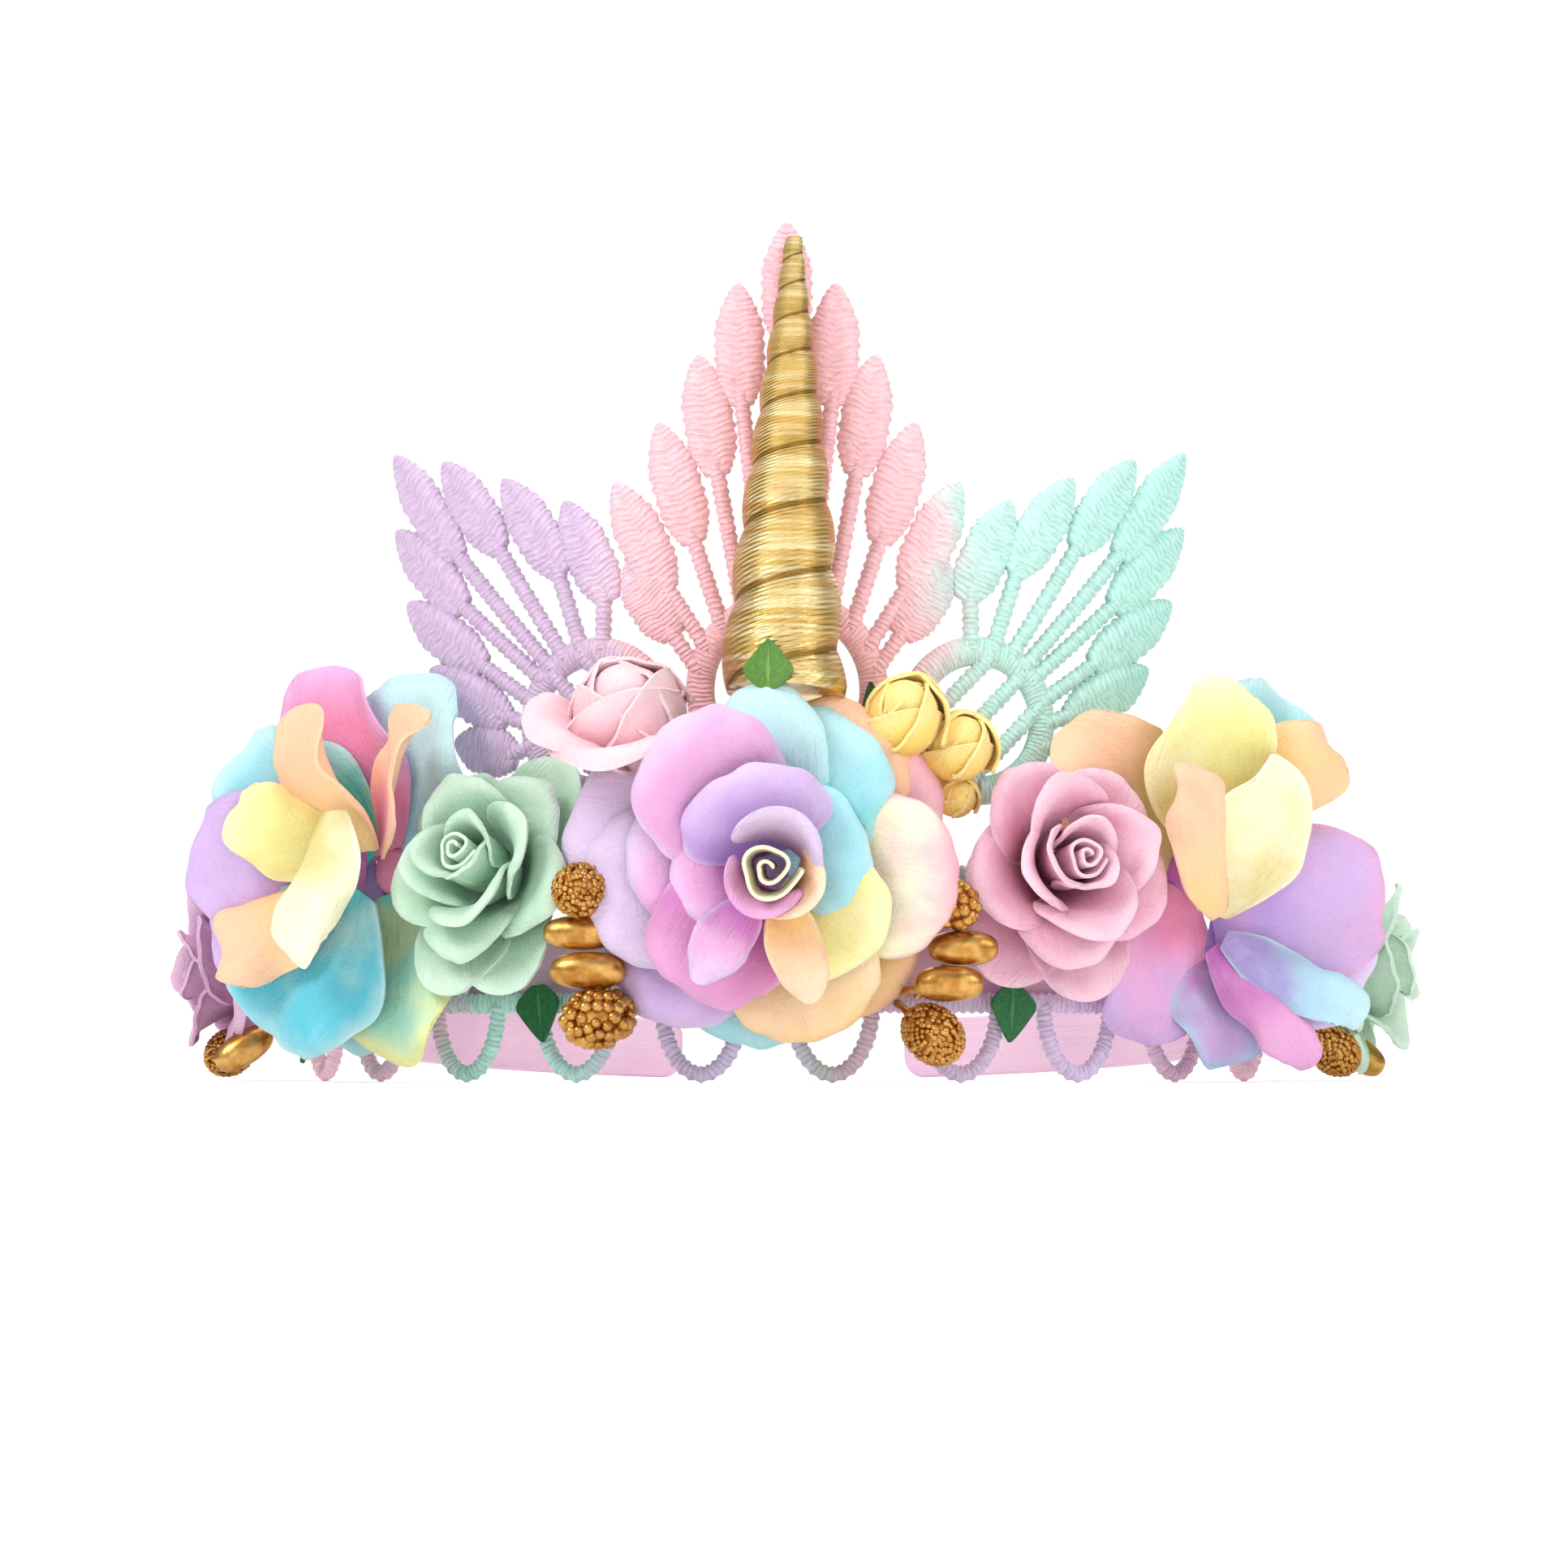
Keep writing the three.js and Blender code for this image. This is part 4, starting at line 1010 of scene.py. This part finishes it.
# kind, azimuths, tilt, root, lift, size
ROSE_RINGS = (
    ("outer", (50, 122, 194, 266, 338), 34, 2.8, 3.5, 1.0),
    ("mid", (15, 105, 195, 285), 15, 3.4, 5, 1.05),
    ("inner", (70, 190, 310), 5, 3.0, 6.8, 1.05),
)
BUD_RINGS = (
    ("bud", (270, 30, 150), 14, 2.6, 2.5, 1.0),
    ("bud", (210, 330, 90), 9, 2.2, 3.4, 0.96),
    ("bud", (300, 120), 4, 1.2, 4.6, 0.84),
)
PEONY_RINGS = (
    ("outer", (214, 268), 18, 2.6, 3, 1.0),
    ("bud", (228, 336, 110), 16, 2.6, 2.5, 1.06),
    ("bud", (282, 168, 48), 9, 2.2, 3.4, 0.96),
    ("bud", (250, 70), 4, 1.2, 4.6, 0.84),
)


def bud_core(seat, dyes_and_shade):
    start_fresh()
    bpy.ops.mesh.primitive_uv_sphere_add(segments=20, ring_count=12, radius=BUD_CORE_RADIUS)
    core = bpy.context.object
    core.matrix_world = (
        seat @ Matrix.Translation((0, 0, BUD_CORE_RISE)) @ Matrix.Diagonal((1, 1, BUD_CORE_STRETCH, 1)))
    settle(core)
    dye_and_shade(core, *dyes_and_shade)
    return core


# node, name, slot, seat, size, rings, azimuths of loose petals, colours at the root, on the body and along
# the rim; the root colour is painted shade deep in each single-coloured rose
SMALL_ROSES = (
    ("mint_rose", "mint_paper_rose", "mint_paper", (-39, 27, -2, 18, 3.7), 0.95, ROSE_RINGS, (62, 250, 290),
     ("mint_painted_shade", "mint", "pale_mint")),
    ("pink_rose", "dusty_paper_rose", "pink_paper", (34, 29, -4, 6, 3.8), 0.98, ROSE_RINGS, (235, 285),
     ("dusty_painted_shade", "dusty", "pale_dusty")),
    ("blush_rose", "blush_paper_rose", "blush_paper", (-20, 42.6, 0, 42, 3.8), 1.18, PEONY_RINGS, (),
     ("shell_painted_shade", "shell", "pale_shell")),
    ("left_end_rose", "mauve_end_rose", "mauve_paper", (-97, 17, 0, 0, 4.5), 1.0, ROSE_RINGS, (),
     ("mauve_painted_shade", "mauve", "pale_mauve")),
    ("right_end_rose", "mint_end_rose", "mint_paper", (96, 17, 0, 0, 4.6), 1.05, ROSE_RINGS, (),
     ("mint", "pale_mint", "pale_mint")),
    ("yellow_rosebud_1", "yellow_bud_1", "yellow_paper", (13, 44.8, 0, 40, 2.8), 0.84, BUD_RINGS, (),
     ("sun_painted_shade", "sun", "pale_sun")),
    ("yellow_rosebud_2", "yellow_bud_2", "yellow_paper", (20.6, 42.4, 0, 34, 1.9), 0.7, BUD_RINGS, (),
     ("sun_painted_shade", "sun", "pale_sun")),
    ("yellow_rosebud_3", "yellow_bud_3", "yellow_paper", (21, 38, 0, 20, 1.4), 0.4, BUD_RINGS, (),
     ("sun_painted_shade", "sun", "pale_sun")),
)
small_papers = {}
for node, name, slot, place, size, rings, loose, dyes_and_shade in SMALL_ROSES:
    seat = flower_seat(*place)
    scaled = seat @ Matrix.Scale(size, 4)
    pieces = [flower_foot(seat, SMALL_FOOT * size, SMALL_FOOT * size, dyes_and_shade)]
    if rings is ROSE_RINGS:
        pieces.append(rolled_heart(scaled, *SMALL_HEART, dyes_and_shade))
    else:
        pieces.append(bud_core(scaled, dyes_and_shade))
    for kind, azimuths, tilt, root, lift, scale in rings:
        for azimuth in azimuths:
            sway = math.sin(SWAY_STEP * azimuth)
            swayed = scale * (1 + SWAY_SIZE * sway)
            turned = MEAN_ROLL + SWAY_ROLL * sway
            setting = (azimuth, tilt + SWAY_TILT * sway, root, lift, swayed, turned, dyes_and_shade)
            pieces.append(place_petal(small_petals[kind], scaled, *setting))
    for azimuth in loose:
        pieces.append(place_petal(small_petals["loose"], scaled, azimuth, *LOOSE_SEAT, dyes_and_shade))
    if slot not in small_papers:
        small_papers[slot] = paper_finish(slot)
    make_flower(node, name, pieces, small_papers[slot], crisp_ripple, CRISP_DEPTH * size)
for blank in (*rose_petals.values(), *bloom_petals.values(), *small_petals.values()):
    bpy.data.objects.remove(blank)

# Gold pips: flower stamens on thin wires, dipped in bronze pearl lacquer and tucked in by the roses.
# The smooth ones are long drops; the berries are heads crusted all over with small beads.
WIRE_RADIUS = 0.6 * MM
WIRE_EDGE = 0.15 * MM
WIRE_SEAT_OUT = 1.45
DROP_ROWS = 18
DROP_FULLNESS = 0.28
PIP_LIFT = 0.3
BEAD_SUNK = 1.5
BEAD_RADIUS = 0.52
BEAD_SPREAD = 0.8
BEAD_SLIP = 0.7
BEAD_DEPTH = 0.7
BEAD_SMALLEST = 0.75
BEAD_GROWTH = 0.45
STRAY_STEP = 12.9898
STRAY_SPREAD = 43.7
BRONZE_PEARL = 520.0
BRONZE_DUST = 4200.0
BRONZE_RELIEF = 0.04 * MM
# node, seat u and v, head u, v and out, length and width, bead size of a berry, which way a pip lies
PIPS = (
    ("gold_berry_1", -21, 28, -25, 26, 14.5, 8.5, 7.8, 0.85, 0),
    ("gold_pip_1", -17, 28, -25.5, 20.3, 12.5, 10.4, 4.8, 0, -1),
    ("gold_pip_2", -18, 11.5, -24.5, 15.2, 13, 10.4, 5.1, 0, -1),
    ("gold_berry_2", -15, 11, -23.5, 8.8, 12, 11.5, 9, 1.7, 0),
    ("gold_berry_3", 15, 28, 18.8, 24, 12, 8.4, 7.2, 1.6, 0),
    ("gold_pip_3", 16.4, 11.8, 20, 18.2, 11.5, 9.4, 4.9, 0, 1),
    ("gold_pip_4", 10.5, 11.8, 18, 13.4, 12.5, 9.4, 4.9, 0, 1),
    ("gold_berry_4", 13.6, 11, 16.5, 6.6, 10.4, 11.6, 8, 0.85, 0),
    ("gold_berry_5", -96, 11, -97, 4.3, 11.4, 8.6, 7.2, 0.85, 0),
    ("gold_pip_5", -88.5, 11, -89.5, 4.8, 11, 9.4, 5, 0, 0),
    ("gold_berry_6", 87, 11, 87, 4.4, 10, 8.6, 7.2, 0.85, 0),
    ("gold_pip_6", 97, 11, 98, 4.2, 11, 9.4, 5, 0, 0),
)
BRONZE = "#dcae62"
BRONZE_DEEP = "#b37a32"


def bronze_finish():
    finish, tree, shader = new_finish("bronze_pearl", roughness=0.28, metallic=0.9)
    place = add_node(tree, "ShaderNodeTexCoord").outputs["Object"]
    pearl = grain(tree, place, BRONZE_PEARL)
    dust = grain(tree, place, BRONZE_DUST)
    shades = blend_shades(tree, smooth_share(tree, pearl, 0.3, 0.7), linear(BRONZE_DEEP), linear(BRONZE))
    tree.links.new(shades, shader.inputs["Base Color"])
    tree.links.new(weighed(tree, dust, 0.2, 0.22), shader.inputs["Roughness"])
    raise_relief(tree, shader, weighed(tree, dust, 0.5, pearl), BRONZE_RELIEF)
    return finish


def drop_head(long, wide):
    start_fresh()
    bpy.ops.mesh.primitive_uv_sphere_add(segments=28, ring_count=DROP_ROWS, radius=0.5)
    head = bpy.context.object
    head.scale = (wide * MM, wide * MM, long * MM)
    settle(head)
    bpy.ops.object.mode_set(mode="EDIT")
    for row in range(1, DROP_ROWS):
        level = -math.cos(math.pi * row / DROP_ROWS) * long * MM / 2
        full = math.sin(math.pi * row / DROP_ROWS) ** -DROP_FULLNESS
        pick(lambda vert: abs(vert.co.z - level) < long * MM / 1000)
        bpy.ops.transform.resize(value=(full, full, 1), center_override=(0, 0, level))
    bpy.ops.object.mode_set(mode="OBJECT")
    return [head]


def beaded_head(long, wide, bead):
    start_fresh()
    bpy.ops.mesh.primitive_uv_sphere_add(segments=16, ring_count=10, radius=0.5)
    core = bpy.context.object
    core.scale = Vector((wide, wide, long)) * MM - Vector((1, 1, 1)) * (BEAD_SUNK * bead * MM)
    settle(core)
    start_fresh()
    bpy.ops.mesh.primitive_uv_sphere_add(segments=8, ring_count=6, radius=BEAD_RADIUS * bead * MM)
    seed = bpy.context.object
    area = math.pi * (wide - bead) * (0.3 * wide + 0.7 * long - bead)
    count = round(area / (BEAD_SPREAD * bead * bead))
    beads = []
    for number in range(count):
        level = 1 - 2 * (number + 0.5) / count
        stray = math.sin(STRAY_STEP * number) * STRAY_SPREAD
        stray -= math.floor(stray)
        around = number * math.pi * (3 - math.sqrt(5)) + BEAD_SLIP * (stray - 0.5)
        reach = math.sqrt(1 - level * level) * (wide - bead * (BEAD_DEPTH + BEAD_DEPTH * stray)) / 2
        swell = BEAD_SMALLEST + BEAD_GROWTH * stray
        grainlet = copy_of(seed)
        grainlet.location = Vector(
            (reach * math.cos(around), reach * math.sin(around), level * (long - bead) / 2)) * MM
        grainlet.scale = (swell, swell, swell)
        beads.append(grainlet)
    bpy.data.objects.remove(seed)
    return [core, *beads]


bronze = bronze_finish()
for node, u, v, head_u, head_v, head_out, long, wide, bead, lie in PIPS:
    seat = on_lace(u, v, WIRE_SEAT_OUT)
    place = on_lace(head_u, head_v, head_out)
    reach = place - seat
    heading = on_lace(head_u + lie, head_v, head_out + PIP_LIFT) - place if lie else reach
    parts = beaded_head(long, wide, bead) if bead else drop_head(long, wide)
    pip = join_pieces(node.replace("gold", "bronze"), parts)
    settle(pip)
    pip.matrix_world = Matrix.Translation(place) @ heading.to_track_quat("Z", "Y").to_matrix().to_4x4()
    settle(pip)
    start_fresh()
    bpy.ops.mesh.primitive_cylinder_add(vertices=12, radius=WIRE_RADIUS, depth=reach.length)
    wire = bpy.context.object
    bpy.ops.object.mode_set(mode="EDIT")
    bpy.ops.mesh.select_all(action="SELECT")
    bpy.ops.mesh.bevel(offset=WIRE_EDGE, segments=2, affect="EDGES")
    bpy.ops.object.mode_set(mode="OBJECT")
    wire.matrix_world = (
        Matrix.Translation(seat + reach / 2) @ reach.to_track_quat("Z", "Y").to_matrix().to_4x4())
    settle(wire)
    pip = join_pieces(pip.name, [pip, wire])
    bpy.ops.object.shade_smooth_by_angle(angle=math.radians(60))
    pip.data.materials.append(bronze)
    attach(pip, "root")
    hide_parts(node)

# Leaves: small pointed leaves cut from green paper and creased along the middle.
# One stands before the horn, one beside it, and four hang from the lace under the roses.
LEAF_WALL = 0.55 * MM
LEAF_CREASE = math.radians(14)
LEAF_ROWS = 12
LEAF_NECK = 0.3
LEAF_SHOULDER = 0.4
LEAF_TIP = 0.05
LEAF_BLUNTNESS = 0.85
LEAF_VEINS = 9
LEAF_FIBRE = 1800.0
LEAF_RELIEF = 0.2 * MM
# node, u, v, out, turn clockwise from straight up, lean, length, width, dyes
LEAVES = (
    ("leaf_1", -3, 52.3, 19.2, 0, -11, 7, 7, ("#4c7f2c", "#7aa84a")),
    ("leaf_2", 11, 45, 2, -6, 3, 10, 5, ("#1f5a2c", "#3d7d42")),
    ("leaf_3", -36, 13.5, 1.65, 172, 6, 8, 7, ("#0f5a2c", "#2f8a4e")),
    ("leaf_4", 30, 13.5, 1.65, 186, 6, 8, 7, ("#1d6e3a", "#4a9c62")),
    ("leaf_5", -81, 13, 1.65, 196, 12, 11, 6, ("#1f5a34", "#3f7d52")),
    ("leaf_6", 82, 13, 1.65, 168, 12, 11, 6, ("#1f6a34", "#44915a")),
)


def leaf_finish(name, deep, light):
    finish, tree, shader = new_finish(name, roughness=0.62)
    places = add_node(tree, "ShaderNodeTexCoord").outputs
    flat = add_node(tree, "ShaderNodeSeparateXYZ", None, Vector=places["UV"]).outputs
    across = maths(tree, "ABSOLUTE", weighed(tree, flat[0], 2.0, -1.0))
    slant = weighed(tree, across, -0.35, flat[1])
    veins = waves_along(tree, slant, LEAF_VEINS)
    ribs = smooth_share(tree, veins, 0.7, 1.0)
    midrib = smooth_share(tree, across, 0.16, 0.02)
    fibre = grain(tree, places["Object"], LEAF_FIBRE)
    lines = maths(tree, "MAXIMUM", weighed(tree, ribs, 0.5), midrib)
    share = weighed(tree, fibre, 0.8, weighed(tree, lines, 0.5, -0.2))
    shades = blend_shades(tree, smooth_share(tree, share, 0.0, 0.9), linear(deep), linear(light))
    tree.links.new(shades, shader.inputs["Base Color"])
    raise_relief(tree, shader, weighed(tree, fibre, 0.3, lines), LEAF_RELIEF)
    return finish


def leaf_half(share):
    if share < LEAF_SHOULDER:
        return LEAF_NECK + (1 - LEAF_NECK) * math.sin(math.pi / 2 * share / LEAF_SHOULDER)
    return LEAF_TIP + (1 - LEAF_TIP) * ((1 - share) / (1 - LEAF_SHOULDER)) ** LEAF_BLUNTNESS


def cut_leaf(long, wide):
    start_fresh()
    bpy.ops.mesh.primitive_grid_add(x_subdivisions=8, y_subdivisions=LEAF_ROWS, size=1)
    leaf = bpy.context.object
    leaf.scale = (wide * MM, long * MM, 1)
    leaf.location.y = long * MM / 2
    settle(leaf)
    bpy.ops.object.mode_set(mode="EDIT")
    for row in range(LEAF_ROWS + 1):
        level = long * MM * row / LEAF_ROWS
        slim = leaf_half(row / LEAF_ROWS)
        pick(lambda vert: abs(vert.co.y - level) < long * MM / 100)
        bpy.ops.transform.resize(value=(slim, 1, 1), center_override=(0, level, 0))
    for side in (-1, 1):
        pick(lambda vert: vert.co.x * side > wide * MM / 1000)
        bpy.ops.transform.rotate(
            value=side * LEAF_CREASE, orient_axis="Y", orient_type="GLOBAL", center_override=(0, 0, 0))
    bpy.ops.object.mode_set(mode="OBJECT")
    return leaf


for node, u, v, out, leaf_turn, lean, long, wide, (deep, light) in LEAVES:
    leaf = cut_leaf(long, wide)
    leaf.name = "paper_" + node
    leaf.matrix_world = (
        Matrix.Translation(on_lace(u, v, out)) @ Matrix.Rotation(lace_yaw(u), 4, "Z")
        @ Matrix.Rotation(math.pi / 2, 4, "X") @ Matrix.Rotation(-math.radians(leaf_turn), 4, "Z")
        @ Matrix.Rotation(math.radians(lean), 4, "X"))
    settle(leaf)
    finish_with(leaf, "SUBSURF", levels=1, render_levels=1)
    finish_with(leaf, "SOLIDIFY", thickness=LEAF_WALL, offset=0)
    bpy.ops.object.shade_smooth_by_angle(angle=math.radians(45))
    leaf.data.materials.append(leaf_finish(leaf.name, deep, light))
    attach(leaf, "root")
    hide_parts(node)

# Stage: a plain pale floor under soft light from both sides, before a white ground.
# The camera stands just above the floor and looks up a little, as in the photograph.
FLOOR_HALF = 1.2
FLOOR_PALE = (0.92, 0.92, 0.92, 1)
FLOOR_GLOW = 0.2
FLOOR_NEAR = 0.1
FLOOR_FAR = 0.4
FLOOR_SEEN_NEAR = 0.12
FLOOR_SEEN_FAR = 0.2
WHITE = (1, 1, 1, 1)
GROUND_GLOW = 0.3
GROUND_SEEN = 0.75
CAMERA_PLACE = (-1.6 * MM, -614 * MM, 4 * MM)
CAMERA_PITCH = math.radians(3.775)
CAMERA_LENS = 93.9
CAMERA_SENSOR = 36
# name, place, size, power, aimed at the middle of the crown
LIGHTS = (
    ("left_softbox", (-0.7, -0.6, 0.75), 0.5, 7.0),
    ("right_softbox", (0.75, -0.55, 0.6), 0.6, 3.5),
    ("front_softbox", (0.1, -1.0, 0.3), 0.7, 2.0),
    ("top_softbox", (0.0, 0.1, 1.1), 0.8, 5.5),
    ("back_softbox", (0.1, 0.9, 0.6), 0.8, 4.0),
)
CROWN_MIDDLE = Vector((0, 0, 0.05))

start_fresh()
bpy.ops.mesh.primitive_grid_add(x_subdivisions=8, y_subdivisions=8, size=2 * FLOOR_HALF)
floor = bpy.context.object
floor.name = "pale_floor"
floor_finish, floor_tree, floor_shader = new_finish("pale_floor", roughness=0.9)
floor_shader.inputs["Base Color"].default_value = FLOOR_PALE
floor_shader.inputs["Emission Color"].default_value = WHITE
floor_seen = add_node(floor_tree, "ShaderNodeLightPath").outputs["Is Camera Ray"]
floor_spot = add_node(floor_tree, "ShaderNodeTexCoord").outputs["Object"]
floor_reach = add_node(floor_tree, "ShaderNodeVectorMath", {"operation": "LENGTH"}, _0=floor_spot)
floor_far = smooth_share(floor_tree, floor_reach.outputs["Value"], FLOOR_NEAR, FLOOR_FAR)
floor_far = weighed(floor_tree, floor_far, FLOOR_SEEN_FAR, FLOOR_SEEN_NEAR)
floor_glow = weighed(floor_tree, floor_seen, floor_far, FLOOR_GLOW)
floor_tree.links.new(floor_glow, floor_shader.inputs["Emission Strength"])
floor.data.materials.append(floor_finish)

for name, place, size, power in LIGHTS:
    bpy.ops.object.light_add(type="AREA", location=place)
    light = bpy.context.object
    light.name = name
    light.data.size = size
    light.data.energy = power
    light.rotation_euler = (CROWN_MIDDLE - Vector(place)).to_track_quat("-Z", "Y").to_euler()

world = bpy.data.worlds.new("white_ground")
bpy.context.scene.world = world
world.use_nodes = True
world_tree = world.node_tree
seen = add_node(world_tree, "ShaderNodeLightPath").outputs["Is Camera Ray"]
strength = weighed(world_tree, seen, GROUND_SEEN, GROUND_GLOW)
world_tree.nodes["Background"].inputs["Color"].default_value = WHITE
world_tree.links.new(strength, world_tree.nodes["Background"].inputs["Strength"])

bpy.ops.object.camera_add(location=CAMERA_PLACE, rotation=(math.pi / 2 + CAMERA_PITCH, 0, 0))
camera = bpy.context.object
camera.data.lens = CAMERA_LENS
camera.data.sensor_width = CAMERA_SENSOR
camera.data.clip_start = MM
bpy.context.scene.camera = camera
bpy.context.scene.view_settings.view_transform = "Standard"
